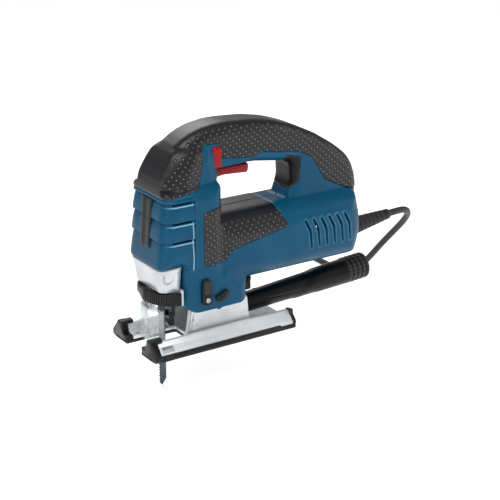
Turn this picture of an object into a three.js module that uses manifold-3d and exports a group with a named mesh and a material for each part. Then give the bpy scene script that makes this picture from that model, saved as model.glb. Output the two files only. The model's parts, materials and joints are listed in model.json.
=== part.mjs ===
// A corded jigsaw with a bow handle. Millimetres; +X is the cutting direction, +Y the left side, +Z up.
// The origin is the middle of the sole, so the saw blade reaches below it.
import * as THREE from 'three';
import { mergeVertices } from 'three/addons/utils/BufferGeometryUtils.js';
import Module from 'manifold-3d';

const wasm = await Module();
wasm.setup();

// ---- driving dimensions ----

const GAP = 0.3;                  // air between faces that touch on the real machine
const HALF_WIDTH = 34.5;          // motor housing and gear column
const HANDLE_HALF_WIDTH = 19;
const SHOULDER_HALF_WIDTH = 25;   // where the handle meets the column
const GRIP_THICKNESS = 1.7;       // soft rubber moulded over the shells
const SHELL = 4.6;                // outside of the housing to its inside, under the rubber too
const MOTOR_Z = 89;               // height of the motor axis
const ARCH_RADIUS = 50.6;         // bevel segment of the base, about the X axis in the sole
const ARCH_CLEAR = 51;            // hollow of the housing that sits on it
const BASE_REAR = -78;
const BASE_FRONT = 79;
const BASE_HALF_WIDTH = 38.6;     // aluminium plate, inside the lips of the shoe
const SHOE_THICKNESS = 3;
const SLOT_HALF_WIDTH = 14;       // opening of the base around the blade
const SLOT_REAR = 26;
const BLADE_X = 49;
const STROKE = 26;
const GEAR_MODULE = 0.9;
const PINION_TEETH = 9;
const GEAR_TEETH = 54;
const CRANK_Z = MOTOR_Z + GEAR_MODULE * (PINION_TEETH + GEAR_TEETH) / 2;
const YOKE_Z = CRANK_Z - STROKE / 2;
const CORD_RADIUS = 3.5;
const FLOOR_Z = -44;              // level of the blade's tip, where the cord lies

// ---- materials ----

function material(color, roughness, metalness = 0, opacity = 1) {
  return new THREE.MeshStandardMaterial({ color, roughness, metalness, opacity, transparent: opacity < 1 });
}

const BLUE = material(0x14527d, 0.42);
const BLACK_RUBBER = material(0x25262a, 0.75);
const BLACK_PLASTIC = material(0x17181a, 0.5);
const RED = material(0xc4121c, 0.4);
const CAST_ALUMINIUM = material(0xc9ccd0, 0.38, 0.9);
const STEEL = material(0x8f9296, 0.35, 1);
const DARK_STEEL = material(0x3a3c40, 0.5, 0.9);
const BRONZE = material(0xa9803f, 0.45, 0.9);
const COPPER = material(0xa85a2a, 0.4, 0.8);
const LAMINATION = material(0x55585d, 0.6, 0.7);
const CARBON = material(0x2a2a2c, 0.8);
const CLEAR = material(0xdfe6ea, 0.12, 0, 0.35);
const CORD_RUBBER = material(0x1b1b1d, 0.7);

// ---- booleans ----

function solid(geometry) {
  const bare = geometry.clone();
  bare.deleteAttribute('normal');
  bare.deleteAttribute('uv');
  const merged = mergeVertices(bare, 1e-4);
  return new wasm.Manifold(new wasm.Mesh({
    numProp: 3,
    vertProperties: Float32Array.from(merged.attributes.position.array),
    triVerts: Uint32Array.from(merged.index.array),
  }));
}

function cut(body, ...tools) {
  return tools.reduce((rest, tool) => rest.subtract(tool), body);
}

function join(body, ...others) {
  return others.reduce((sum, other) => sum.add(other), body);
}

const group = new THREE.Group();

function part(name, shape, look) {
  const mesh = shape.getMesh();
  const geometry = new THREE.BufferGeometry();
  geometry.setAttribute('position', new THREE.BufferAttribute(Float32Array.from(mesh.vertProperties), 3));
  geometry.setIndex(new THREE.BufferAttribute(Uint32Array.from(mesh.triVerts), 1));
  geometry.computeVertexNormals();
  const node = new THREE.Mesh(geometry, look);
  node.name = name;
  group.add(node);
}

// The same shape on the left and, mirrored, on the right.
function pair(name, shape, look) {
  part(`${name}_left`, shape, look);
  part(`${name}_right`, shape.mirror([0, 1, 0]), look);
}

// ---- shape helpers ----

function outline(points) {
  return new THREE.Shape(points.map(([u, v]) => new THREE.Vector2(u, v)));
}

// An outline in X and Z, drawn out along Y.
function sidewall(shape, yFrom, yTo) {
  const geometry = new THREE.ExtrudeGeometry(shape, { depth: yTo - yFrom, bevelEnabled: false, curveSegments: 12 });
  return solid(geometry.rotateX(Math.PI / 2).translate(0, yTo, 0));
}

// A body with rounded flanks: an outline in X and Z, shrunk by inset all over.
function moulded(shape, halfWidth, bevel, inset = 0) {
  const depth = 2 * (halfWidth - inset - bevel);
  const geometry = new THREE.ExtrudeGeometry(shape, {
    depth, bevelThickness: bevel, bevelSize: bevel, bevelOffset: -bevel - inset, bevelSegments: 3,
  });
  return solid(geometry.rotateX(Math.PI / 2).translate(0, depth / 2, 0));
}

// An outline in Y and Z, drawn out along X.
function section(shape, xFrom, xTo, curveSegments = 12) {
  const geometry = new THREE.ExtrudeGeometry(shape, { depth: xTo - xFrom, bevelEnabled: false, curveSegments });
  const turn = new THREE.Matrix4().makeBasis(
    new THREE.Vector3(0, 1, 0), new THREE.Vector3(0, 0, 1), new THREE.Vector3(1, 0, 0));
  return solid(geometry.applyMatrix4(turn).translate(xFrom, 0, 0));
}

// An outline in X and Y, drawn out along Z.
function slab(shape, zFrom, zTo, curveSegments = 12) {
  const geometry = new THREE.ExtrudeGeometry(shape, { depth: zTo - zFrom, bevelEnabled: false, curveSegments });
  return solid(geometry.translate(0, 0, zFrom));
}

function block(x, y, z) {
  const geometry = new THREE.BoxGeometry(x[1] - x[0], y[1] - y[0], z[1] - z[0]);
  return solid(geometry.translate((x[0] + x[1]) / 2, (y[0] + y[1]) / 2, (z[0] + z[1]) / 2));
}

// A turned piece: [radius, height] pairs about the Y axis, laid along another axis.
function turned(profile, axis, sides = 20) {
  const points = profile.map(([radius, height]) => new THREE.Vector2(radius, height));
  if (THREE.ShapeUtils.area(points) < 0) points.reverse();
  const geometry = new THREE.LatheGeometry(points, sides);
  if (axis === 'x') geometry.rotateZ(-Math.PI / 2);
  if (axis === 'z') geometry.rotateX(Math.PI / 2);
  return solid(geometry);
}

function rod(axis, radius, from, to, sides = 20) {
  return turned([[0, from], [radius, from], [radius, to], [0, to]], axis, sides);
}

function ring(axis, inner, outer, from, to, sides = 20) {
  return turned([[inner, from], [outer, from], [outer, to], [inner, to], [inner, from]], axis, sides);
}

// ---- housing: two moulded shells, split down the middle ----

const BARREL_SIDE = outline([[10, 55], [10, 124], [-160, 124], [-169, 85], [-160, 55]]);
const COLUMN_SIDE = outline([
  [-29, 24], [40, 24], [40, 84], [66, 84], [60, 157], [-2, 157], [-2, 75], [-29, 60],
]);
const SHOULDER_SIDE = outline([[56, 120], [52, 176], [34, 190], [2, 190], [-4, 160], [-2, 120]]);
const HANDLE_SIDE = outline([
  [30, 80], [55, 140], [57, 166], [49, 182], [37, 194], [21, 203], [3, 207.5], [-14, 208.5],
  [-46, 206.5], [-70, 202], [-92, 194.5], [-116, 183], [-140, 168], [-157, 154], [-165, 137],
  [-167, 118], [-150, 80],
]);
HANDLE_SIDE.holes.push(outline([[-2, 158], [-2, 112], [-78, 112], [-89, 140], [-88, 160], [-46, 166]]));

function housingBody(inset) {
  return join(
    moulded(BARREL_SIDE, HALF_WIDTH, 20, inset),
    moulded(COLUMN_SIDE, HALF_WIDTH, 12, inset),
    moulded(SHOULDER_SIDE, SHOULDER_HALF_WIDTH, 12, inset),
    moulded(HANDLE_SIDE, HANDLE_HALF_WIDTH, 9, inset),
  );
}

// Where the rubber lies on the housing, as outlines in X and Z.
const GRIP_ZONE = [
  [75, 150.6], [55, 150.6], [21.5, 155.7], [12.6, 192], [-6.4, 191], [-6.4, 177], [-43, 172], [-51, 176],
  [-96, 169], [-109, 162], [-117, 150], [-125, 137], [-149, 125], [-185, 117], [-185, 230], [75, 230],
];
const LINER_ZONE = [[-82, 125.5], [-96, 140], [-97, 164], [-80, 166], [-80, 140]];
const PAD_ZONE = [
  [21, 81], [21, 133], [-1, 137], [-1, 150], [-60, 150], [-64, 121], [-73, 104], [-11, 92], [-2, 82],
];
const NOSE_REAR = 30;
const NOSE_BOTTOM = 83.9;
const NOSE_TOP = 150.3;

function zone(points, yFrom = -60, yTo = 60) {
  return sidewall(outline(points), yFrom, yTo);
}

const SCREW_PLACES = [[-150, 66], [-150, 112], [-126, 166]];   // X, Z of the housing screws

function rearVents() {
  const vents = [];
  for (let k = 0; k < 5; k += 1) {
    const x = -92 - 10 * k;
    const shape = outline([[x, 102], [x - 1.8, 102], [x - 8.8, 78], [x - 7, 78]]);
    vents.push(sidewall(shape, -60, 60));
  }
  return vents;
}

function screwBoss(x, z) {
  return rod('y', 4.4, -33, 33, 12).translate(x, 0, z);
}

function makeHousing() {
  const outer = housingBody(0);
  const lockGap = block([-7.5, 3.5], [-30, 30], [167.5, 189.5]);
  const wheelGap = rod('y', WHEEL_RADIUS + 0.8, -4.7, 4.7, 36).translate(WHEEL_AXIS[0], 0, WHEEL_AXIS[1]);
  const underRubber = housingBody(GRIP_THICKNESS + GAP);
  const rubberSkin = outer.subtract(housingBody(GRIP_THICKNESS));
  const bosses = SCREW_PLACES.map(([x, z]) => screwBoss(x, z).intersect(underRubber));
  const bearingWall = cut(
    block([-116, -104.2], [-40, 40], [50, 130]).intersect(underRubber),
    rod('x', 11.2, -111.3, -100).translate(0, 0, MOTOR_Z),
    rod('x', 6, -120, -100, 12).translate(0, 0, MOTOR_Z),
    block([-120, -100], [-26, 26], [108, 140]),
  );
  const skin = outer.subtract(housingBody(SHELL));
  const pockets = [GRIP_ZONE, LINER_ZONE, PAD_ZONE].map(points => zone(points).subtract(underRubber));
  const shell = cut(
    join(skin, ...bosses, bearingWall),
    ...pockets,
    ...rearVents(),
    ...SCREW_PLACES.map(([x, z]) => rod('y', 2.1, -60, 28, 12).translate(x, 0, z)),
    ...SCREW_PLACES.map(([x, z]) => rod('y', 3.9, -60, z > 130 ? -14 : -24, 12).translate(x, 0, z)),
    // seats of the bevel segment, the gearbox, the nose cover and the gearbox head
    rod('x', ARCH_CLEAR, -60, 60, 64),
    gearChamber(-GAP),
    block([NOSE_REAR - GAP, 90], [-60, 60], [NOSE_BOTTOM - 5, NOSE_TOP]),
    block([39.4, 90], [-60, 60], [20, 90]),
    // room for the roller fork, for the top of the plunger and for the controls
    block([30, 45], [-9.6, 9.6], [40, 70]),
    rod('z', SPIGOT_RADIUS + 0.6, 140, 170).translate(BLADE_X, 0, 0),
    block([-42.6, -1.2], [-8.4, 8.4], [140, 178]),
    block([-42.6, -1.2], [-12.6, 12.6], [140, 169.2]),
    lockGap,
    wheelGap,
    rod('y', 2.6, 20, 60).translate(LEVER_PIVOT[0], 0, LEVER_PIVOT[1]),
    bootHole(),
  );
  part('housing_left', shell.intersect(block([-250, 100], [GAP / 2, 60], [0, 240])), BLUE);
  part('housing_right', shell.intersect(block([-250, 100], [-60, -GAP / 2], [0, 240])), BLUE);

  const gripScrewHole = rod('y', 3.9, -60, -14, 12).translate(SCREW_PLACES[2][0], 0, SCREW_PLACES[2][1]);
  const grip = cut(zone(GRIP_ZONE).intersect(rubberSkin), lockGap, wheelGap, gripScrewHole);
  part('handle_grip', grip, BLACK_RUBBER);
  part('handle_liner', zone(LINER_ZONE).intersect(rubberSkin), BLACK_RUBBER);
  part('barrel_pad_left', zone(PAD_ZONE, GAP / 2, 60).intersect(rubberSkin), BLACK_RUBBER);
  part('barrel_pad_right', zone(PAD_ZONE, -60, -GAP / 2).intersect(rubberSkin), BLACK_RUBBER);
  makeNose(outer, rubberSkin);
}

function makeNose(outer, rubberSkin) {
  const strip = block([45, 90], [-9, 9], [100, 147]);
  const slots = [111, 129, 147].map(z => block([NOSE_REAR + 1, 54], [-60, 60], [z - 2.4, z - 0.6]));
  const cover = cut(
    outer.intersect(block([NOSE_REAR, 90], [-60, 60], [NOSE_BOTTOM, NOSE_TOP - GAP])),
    housingBody(3.4),
    block([20, 60], [-29.8, 29.8], [80, 160]),
    block([45, 90], [-9.3, 9.3], [99.7, 147.3]).subtract(housingBody(GRIP_THICKNESS + GAP)),
    ...slots,
  );
  part('nose_cover', cover, BLUE);
  part('front_strip', strip.intersect(rubberSkin), BLACK_RUBBER);
}

// ---- gearbox: the aluminium casting that carries crank and plunger ----

const CLAMP_POCKET = 12.5;        // radius of the hollow that the blade clamp travels in
const PLUNGER_RADIUS = 4.5;
const SPIGOT_RADIUS = 3;          // thin upper end of the plunger
const HEAD_SCREW = [56, 74.5];    // X, Z
const RELEASE_PIVOT = [56.5, -20.5];

function gearChamber(inset = 0) {
  return moulded(outline([[3, 62], [3, 149], [56.4, 149], [58, 100], [58, 62]]), 29.5, 6, inset);
}

function makeGearbox() {
  const headSide = outline([[40.2, 45.5], [40.2, 83.6], [65, 83.6], [62.5, 60], [62.5, 45.5]]);
  const upperBoss = rod('z', 5.2, 136.6, 146).translate(BLADE_X, 0, 0);
  const inner = sidewall(outline([
    [14, 64], [36, 64], [38, 84], [41.5, 97], [54.4, 97], [54.4, 145], [14, 145],
  ]), -27, 27);
  const casting = cut(
    join(gearChamber().subtract(inner), moulded(headSide, 28, 8), upperBoss),
    // seats of the front bearing and the gear axle
    rod('x', 11.3, 4.6, 20).translate(0, 0, MOTOR_Z),
    rod('x', 7, -5, 20).translate(0, 0, MOTOR_Z),
    rod('x', 4.1, 5, 20).translate(0, 0, CRANK_Z),
    // the plunger's way: blade clamp, lower bushing, rod and upper bushing
    rod('z', CLAMP_POCKET, 30, 84.5).translate(BLADE_X, 0, 0),
    rod('z', 8.2, 30, 96.5).translate(BLADE_X, 0, 0),
    rod('z', PLUNGER_RADIUS + 0.4, 90, 100).translate(BLADE_X, 0, 0),
    rod('z', 4.2, 130, 160).translate(BLADE_X, 0, 0),
    // the roller fork and its pivot
    block([30, 41.5], [-7.3, 7.3], [40, 68]),
    rod('y', 2.4, -9.4, 9.4).translate(FORK_PIVOT[0], 0, FORK_PIVOT[1]),
    // the blade's front, and room for the release lever round a neck that stays
    block([48, 80], [-9, 9], [40, 60]),
    block([50, 80], [-40, 40], [40, 59.6]).subtract(rod('z', 15.5, 30, 70).translate(47, 0, 0)),
    block([43.5, 80], [19.5, 40], [40, 59.6]),
    rod('x', ARCH_CLEAR, 0, 42, 64),
    // head screws
    rod('y', 1.9, -40, -16, 12).translate(HEAD_SCREW[0], 0, HEAD_SCREW[1]),
    rod('y', 1.9, 16, 40, 12).translate(HEAD_SCREW[0], 0, HEAD_SCREW[1]),
    rod('y', 4.4, -40, -24.5, 16).translate(HEAD_SCREW[0], 0, HEAD_SCREW[1]),
    rod('y', 4.4, 24.5, 40, 16).translate(HEAD_SCREW[0], 0, HEAD_SCREW[1]),
  );
  const lug = rod('z', 2, 44.8, 60, 12).translate(...RELEASE_PIVOT, 0);
  part('gearbox_housing', join(casting, lug), CAST_ALUMINIUM);
  part('gear_axle', rod('x', 4, 6, 30.6).translate(0, 0, CRANK_Z), STEEL);
  part('lower_bushing', ring('z', PLUNGER_RADIUS + 0.08, 8.1, 85.5, 96.4).translate(BLADE_X, 0, 0), BRONZE);
  part('upper_bushing', ring('z', SPIGOT_RADIUS + 0.08, 4.1, 136.8, 148.5).translate(BLADE_X, 0, 0), BRONZE);
  const screw = join(rod('y', 1.7, 17, 25.5, 12), rod('y', 3.6, 25, 27.2, 16));
  pair('gearbox_screw', screw.translate(HEAD_SCREW[0], 0, HEAD_SCREW[1]), STEEL);
}

// ---- motor: field, armature, brushes and fan on the X axis at MOTOR_Z ----

const CORE_REAR = -78;
const CORE_FRONT = -26;
const FAN_BLADES = 9;

function sector(inner, outer, halfAngle, xFrom, xTo) {
  const shape = new THREE.Shape();
  shape.absarc(0, 0, outer, Math.PI / 2 - halfAngle, Math.PI / 2 + halfAngle, false);
  shape.absarc(0, 0, inner, Math.PI / 2 + halfAngle, Math.PI / 2 - halfAngle, true);
  return section(shape, xFrom, xTo);
}

function makeField() {
  const wide = THREE.MathUtils.degToRad(64);
  const narrow = THREE.MathUtils.degToRad(40);
  const coil = sector(21.2, 25.6, wide, CORE_REAR - 6, CORE_FRONT + 6)
    .subtract(sector(20, 27, narrow, CORE_REAR - 1, CORE_FRONT + 1));
  const slot = sector(20.9, 25.9, wide + 0.02, CORE_REAR - 1, CORE_FRONT + 1)
    .subtract(sector(20, 27, narrow - 0.02, CORE_REAR - 2, CORE_FRONT + 2));
  const core = cut(ring('x', 19.4, 29.2, CORE_REAR, CORE_FRONT, 36), slot, slot.mirror([0, 0, 1]));
  part('stator_core', core.translate(0, 0, MOTOR_Z), LAMINATION);
  part('field_coil_upper', coil.translate(0, 0, MOTOR_Z), COPPER);
  part('field_coil_lower', coil.mirror([0, 0, 1]).translate(0, 0, MOTOR_Z), COPPER);
}

function gearOutline(teeth, phase) {
  const pitch = GEAR_MODULE * teeth / 2;
  const root = pitch - 1.15 * GEAR_MODULE;
  const tip = pitch + 0.75 * GEAR_MODULE;
  const step = 2 * Math.PI / teeth;
  const points = [];
  for (let k = 0; k < teeth; k += 1) {
    for (const [radius, offset] of [[root, -0.31], [tip, -0.12], [tip, 0.12], [root, 0.31]]) {
      const angle = phase + (k + offset) * step;
      points.push([radius * Math.cos(angle), radius * Math.sin(angle)]);
    }
  }
  return outline(points);
}

function makeArmature() {
  const shaft = join(
    rod('x', 3.5, -113, 20, 16),
    rod('x', 2.6, 20, 34, 16),
    section(gearOutline(PINION_TEETH, Math.PI / 2), 21, 33),
  );
  part('rotor_shaft', shaft.translate(0, 0, MOTOR_Z), STEEL);
  const slots = [];
  for (let k = 0; k < 12; k += 1) {
    slots.push(block([CORE_REAR - 1, CORE_FRONT + 1], [-1.1, 1.1], [15, 20]).rotate([30 * k, 0, 0]));
  }
  const core = ring('x', 3.8, 18.8, CORE_REAR, CORE_FRONT, 36);
  part('armature_core', cut(core, ...slots).translate(0, 0, MOTOR_Z), LAMINATION);
  part('winding_front', ring('x', 3.8, 16.5, CORE_FRONT + GAP, -17, 24).translate(0, 0, MOTOR_Z), COPPER);
  part('winding_rear', ring('x', 3.8, 16.5, -85, CORE_REAR - GAP, 24).translate(0, 0, MOTOR_Z), COPPER);
  part('commutator', ring('x', 3.8, 11.5, -100, -86, 24).translate(0, 0, MOTOR_Z), COPPER);
  const blades = [];
  for (let k = 0; k < FAN_BLADES; k += 1) {
    blades.push(block([-12, -4.5], [-0.8, 0.8], [9, 25.5]).rotate([360 * k / FAN_BLADES, 0, 0]));
  }
  const disc = ring('x', 3.8, 25.8, -14, -11.5, 24);
  const hub = ring('x', 3.8, 9.5, -14, -3);
  part('cooling_fan', join(disc, hub, ...blades).translate(0, 0, MOTOR_Z), BLACK_PLASTIC);
  part('bearing_front', ring('x', 3.8, 11, 5, 12).translate(0, 0, MOTOR_Z), STEEL);
  part('bearing_rear', ring('x', 3.8, 11, -111, -104.5).translate(0, 0, MOTOR_Z), STEEL);
}

function makeBrushes() {
  const hollow = block([-96.3, -89.7], [10, 27], [MOTOR_Z - 4.3, MOTOR_Z + 4.3]);
  pair('brush_holder', block([-98, -88], [14, 28.5], [MOTOR_Z - 6, MOTOR_Z + 6]).subtract(hollow), BRONZE);
  pair('carbon_brush', block([-96, -90], [12, 24], [MOTOR_Z - 4, MOTOR_Z + 4]), CARBON);
}

// ---- crank, plunger and blade ----

const GEAR_BACK = 22;
const GEAR_FRONT = 31;

function makeCrank() {
  const wheel = section(gearOutline(GEAR_TEETH, -Math.PI / 2 + Math.PI / GEAR_TEETH), GEAR_BACK, GEAR_FRONT);
  const pin = rod('x', 4, GEAR_FRONT - 1, 37.4, 16).translate(0, 0, -STROKE / 2);
  const web = ring('x', 9, 19, GEAR_BACK - 1, GEAR_BACK + 4);
  const gear = cut(join(wheel, pin), rod('x', 4.1, 0, 60), web);
  part('crank_gear', gear.translate(0, 0, CRANK_Z), STEEL);
}

function makePlunger() {
  const plunger = join(rod('z', PLUNGER_RADIUS, 54, YOKE_Z + 6), rod('z', SPIGOT_RADIUS, 100, 142));
  part('plunger_rod', plunger.translate(BLADE_X, 0, 0), STEEL);
  const yoke = cut(
    block([38, 53.2], [-20, 20], [YOKE_Z - 6, YOKE_Z + 6]),
    block([37, 44], [-17.5, 17.5], [YOKE_Z - 4.3, YOKE_Z + 4.3]),
    rod('z', PLUNGER_RADIUS + 0.1, 80, 130).translate(BLADE_X, 0, 0),
    block([45, 60], [8, 30], [80, 130]),
    block([45, 60], [-30, -8], [80, 130]),
  );
  part('plunger_yoke', yoke, DARK_STEEL);
  const clamp = cut(
    join(rod('z', 7.6, 46, 57.5, 18), rod('z', 6.4, 44.6, 46.5, 18)),
    rod('z', PLUNGER_RADIUS + 0.1, 53.8, 70),
    block([-4.2, 4.2], [-0.9, 0.9], [40, 53.5]),
  );
  part('blade_clamp', clamp.translate(BLADE_X, 0, 0), DARK_STEEL);
  makeBlade();
}

function makeBlade() {
  const points = [[BLADE_X - 3.8, 53], [BLADE_X - 3.8, -38], [BLADE_X + 1, FLOOR_Z]];
  const pitch = 3;
  for (let z = -42; z < 30; z += pitch) {
    points.push([BLADE_X + 3.8, z], [BLADE_X + 2.8, z + 0.4]);
  }
  points.push([BLADE_X + 3.8, 32], [BLADE_X + 3.8, 53]);
  part('saw_blade', sidewall(outline(points), -0.6, 0.6), DARK_STEEL);
}

// ---- orbital action: a fork with a roller behind the blade ----

const FORK_PIVOT = [39, 62];     // X, Z
const ROLLER = [40.9, 22];       // X, Z

function makeOrbitalSupport() {
  const arm = join(
    block([37.2, 40.8], [-5.6, 5.6], [26.6, 63]),
    block([38.2, 43], [-5.6, -3.6], [17.5, 30]),
    block([38.2, 43], [3.6, 5.6], [17.5, 30]),
    rod('y', 2, -9, 9, 16).translate(FORK_PIVOT[0], 0, FORK_PIVOT[1]),
    rod('y', 1.4, -4, 4, 12).translate(ROLLER[0], 0, ROLLER[1]),
  );
  part('roller_fork', arm, DARK_STEEL);
  const wheel = turned([[1.5, -3.3], [3.9, -3.3], [3.9, -0.8], [3.3, 0], [3.9, 0.8], [3.9, 3.3], [1.5, 3.3],
    [1.5, -3.3]], 'y');
  part('guide_roller', wheel.translate(ROLLER[0], 0, ROLLER[1]), STEEL);
}

// ---- controls ----

const LEVER_PIVOT = [20.4, 49.5];      // X, Z
const BLOWER_PIVOT = [6.3, 48.5];
const WHEEL_AXIS = [-154.5, 130];
const WHEEL_RADIUS = 13;

function makeControls() {
  const lever = join(
    rod('y', 5.6, 34.8, 39.5, 20),
    block([-5, 5], [34.8, 38.5], [0, 16]),
    rod('y', 5, 34.8, 38.5, 16).translate(0, 0, 15),
    rod('y', 2.4, 24, 36, 16),
  ).translate(LEVER_PIVOT[0], 0, LEVER_PIVOT[1]);
  part('orbital_lever', lever, BLACK_PLASTIC);

  const slider = join(
    rod('y', 3.8, 34.8, 38.6, 16),
    block([-11, 0], [34.8, 38.6], [-3, 3]),
  ).rotate([0, 25, 0]).translate(BLOWER_PIVOT[0], 0, BLOWER_PIVOT[1]);
  part('blower_switch', slider, BLACK_PLASTIC);

  const triggerSide = outline([
    [-1.6, 153], [-6, 158.5], [-13, 160.5], [-41, 161], [-42, 166], [-42, 170], [-1.6, 175],
  ]);
  const foot = outline([[-1.6, 153], [-6, 158.5], [-13, 160.5], [-41, 159.5], [-41.5, 165], [-1.6, 165.3]]);
  part('trigger', join(sidewall(triggerSide, -8, 8), sidewall(foot, -12, 12)), RED);

  const button = moulded(outline([[3, 168], [3, 189], [-7, 189], [-7, 168]]), 21.5, 2);
  part('lock_button', cut(button, block([-20, 20], [-12, 12], [160, 178.5])), RED);

  part('speed_wheel', join(
    rod('y', WHEEL_RADIUS, -4.2, 4.2, 36),
    rod('y', 3, -7.5, 7.5, 12),
  ).translate(WHEEL_AXIS[0], 0, WHEEL_AXIS[1]), BLACK_PLASTIC);

  part('blade_release_lever', makeReleaseLever(), BLACK_PLASTIC);
}

// A band around the front of the gearbox, hinged on a lug at its right front corner.
function makeReleaseLever() {
  const outside = outline([
    [53, -24.5], [60, -24.5], [66.5, -14], [68, 0], [66, 13], [60, 24], [53, 29.5], [43.8, 31.5],
  ]);
  const hollow = outline([
    [40, -40], [55, -18], [60, -14], [63.5, 0], [61.5, 12], [56.5, 20.5], [50, 25.5], [40, 28],
  ]);
  const band = slab(outside, 47, 59).subtract(slab(hollow, 40, 70));
  const eye = rod('z', 4.2, 47, 59, 16).translate(...RELEASE_PIVOT, 0);
  return cut(join(band, eye), rod('z', 2.15, 40, 70, 12).translate(...RELEASE_PIVOT, 0));
}

// ---- inside the handle and the rear of the housing ----

function makeElectrics() {
  part('switch_module', block([-40, -12], [-9, 9], [178.6, 200]), BLACK_PLASTIC);
  part('electronics_module', block([-90, -52], [-10, 10], [174, 188]), BLACK_PLASTIC);
  part('cord_clamp', cut(
    block([-149, -142], [-12, 12], [76, 84]),
    rod('x', CORD_RADIUS + 0.2, -160, -130, 16).translate(0, 0, 74.2),
  ), BLACK_PLASTIC);
}

// ---- cord boot, cord, coil and plug ----

const BOOT_START = new THREE.Vector3(-152, 0, 71.5);
const BOOT_TILT = 6;               // degrees that the boot rises towards its end
const BOOT_LENGTH = 69;

function placedOnBoot(body) {
  return body.rotate([0, BOOT_TILT, 0]).translate(BOOT_START.x, BOOT_START.y, BOOT_START.z);
}

function bootHole() {
  return placedOnBoot(rod('x', 9.8, -40, 2));
}

function makeBoot() {
  part('cord_boot', placedOnBoot(turned(
    [[0, -BOOT_LENGTH], [5.4, -BOOT_LENGTH], [6, -BOOT_LENGTH + 3], [7.4, -40], [9.5, -22], [9.5, 0], [0, 0]],
    'x')), BLACK_RUBBER);
}

// The free cord from the end of the boot to the coil.
const CORD_ROUTE = [
  [-220.9, 0, 78.74], [-230, 0, 79.3], [-241, -2.5, 78.4], [-252, -8, 74], [-261, -17, 66], [-267, -29, 55],
  [-270, -43, 42], [-270.5, -58, 27], [-270, -73, 11], [-269, -87, -5], [-268.5, -101, -19],
  [-268.5, -116, -30], [-268.5, -132, -37], [-268.5, -150, -40], [-268.5, -170, -40.5],
  [-268.5, -200, -40.5], [-268.5, -235, -40.5], [-268.5, -278, -40.5],
];
const COIL_CENTRE = [-223, -305];
const COIL_INNER = 28;
const COIL_OUTER = 49;
const COIL_HEIGHT = 21;
const PLUG_RADIUS = 17.5;
const PLUG_START = [COIL_CENTRE[0] + 29.3, COIL_CENTRE[1] - COIL_OUTER + CORD_RADIUS, FLOOR_Z + PLUG_RADIUS];

function makeCord() {
  const curve = new THREE.CatmullRomCurve3(CORD_ROUTE.map(([x, y, z]) => new THREE.Vector3(x, y, z)));
  const circle = new THREE.Shape();
  circle.absarc(0, 0, CORD_RADIUS, 0, 2 * Math.PI, false);
  const geometry = new THREE.ExtrudeGeometry(circle, { steps: 32, extrudePath: curve, curveSegments: 4 });
  part('cord', solid(geometry), CORD_RUBBER);
  const [x, y] = COIL_CENTRE;
  const turns = ring('z', COIL_INNER, COIL_OUTER, FLOOR_Z, FLOOR_Z + COIL_HEIGHT, 32).translate(x, y, 0);
  const toPlug = rod('x', CORD_RADIUS, x, PLUG_START[0] - GAP, 12).translate(0, PLUG_START[1], PLUG_START[2]);
  part('cord_coil', join(turns, toPlug), CORD_RUBBER);
  const top = FLOOR_Z + COIL_HEIGHT;
  const tie = block([x + COIL_INNER - 3, x + COIL_OUTER + 2.3], [y - 4, y + 4], [FLOOR_Z, top + 2])
    .subtract(block([x + COIL_INNER - 1, x + COIL_OUTER + GAP], [y - 9, y + 9], [FLOOR_Z - 1, top + GAP]));
  part('cord_tie', tie, BLACK_PLASTIC);
}

// A two-pin plug lying on the floor, where the outer top turn of the coil leaves towards +X.
function makePlug() {
  const body = turned([
    [0, 0], [4.5, 0], [7, 13], [9, 15], [13, 18], [17, 32], [PLUG_RADIUS, 46], [PLUG_RADIUS, 49], [0, 49],
  ], 'x', 20);
  const pins = [-9.5, 9.5].map(side => rod('x', 2.4, 48, 67, 12).translate(0, side, 0));
  part('mains_plug', join(body, ...pins).translate(...PLUG_START), BLACK_PLASTIC);
}

// ---- base: sole plate, bevel segment, shoe, guard and dust pipe ----

const PLATE_BOTTOM = SHOE_THICKNESS + GAP;
const PLATE_TOP = 6.3;
const RAIL_TOP = 15;

function makeBase() {
  const railSection = outline([
    [-BASE_HALF_WIDTH, PLATE_BOTTOM], [BASE_HALF_WIDTH, PLATE_BOTTOM], [BASE_HALF_WIDTH, PLATE_TOP],
    [29.5, RAIL_TOP], [26, RAIL_TOP], [23.5, PLATE_TOP], [-23.5, PLATE_TOP], [-26, RAIL_TOP],
    [-29.5, RAIL_TOP], [-BASE_HALF_WIDTH, PLATE_TOP],
  ]);
  const slot = block([SLOT_REAR, 90], [-SLOT_HALF_WIDTH, SLOT_HALF_WIDTH], [-5, 30]);
  const guideSlots = block([56, 68], [-60, 60], [PLATE_TOP + 1, 11.5]).subtract(block([50, 80], [-27, 27], [0, 30]));
  const plate = cut(section(railSection, BASE_REAR + 1, 71.5), slot, guideSlots);
  part('base_plate', plate, CAST_ALUMINIUM);

  const shoePlan = outline([
    [BASE_REAR, -41], [73, -41], [BASE_FRONT, -37], [BASE_FRONT, 37], [73, 41], [BASE_REAR, 41],
  ]);
  const lips = block([-54, BASE_FRONT], [-41, 41], [0, 5.6])
    .subtract(block([-90, 90], [-BASE_HALF_WIDTH - GAP, BASE_HALF_WIDTH + GAP], [-1, 30]));
  const caps = block([71.8, BASE_FRONT], [-42.5, 42.5], [0, 19]);
  const shoe = cut(
    join(slab(shoePlan, 0, SHOE_THICKNESS), lips, caps),
    slot,
    wedge(1),
    wedge(-1),
  );
  part('sliding_shoe', shoe, BLACK_PLASTIC);
  makeCradle();
  makeGuard();
  makePipe();
}

// Cuts the outer upper corner off a front cap of the shoe.
function wedge(side) {
  const corner = section(outline([[31, 20], [50, 20], [50, 6], [42.6, 6]]), 70, 90);
  return side > 0 ? corner : corner.mirror([0, 1, 0]);
}

const CRADLE_REAR = -40;
const CRADLE_FRONT = 34.3;        // clear of the roller fork when the base is tilted
const CLAMP_Z = 38;               // screw that locks the bevel

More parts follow.
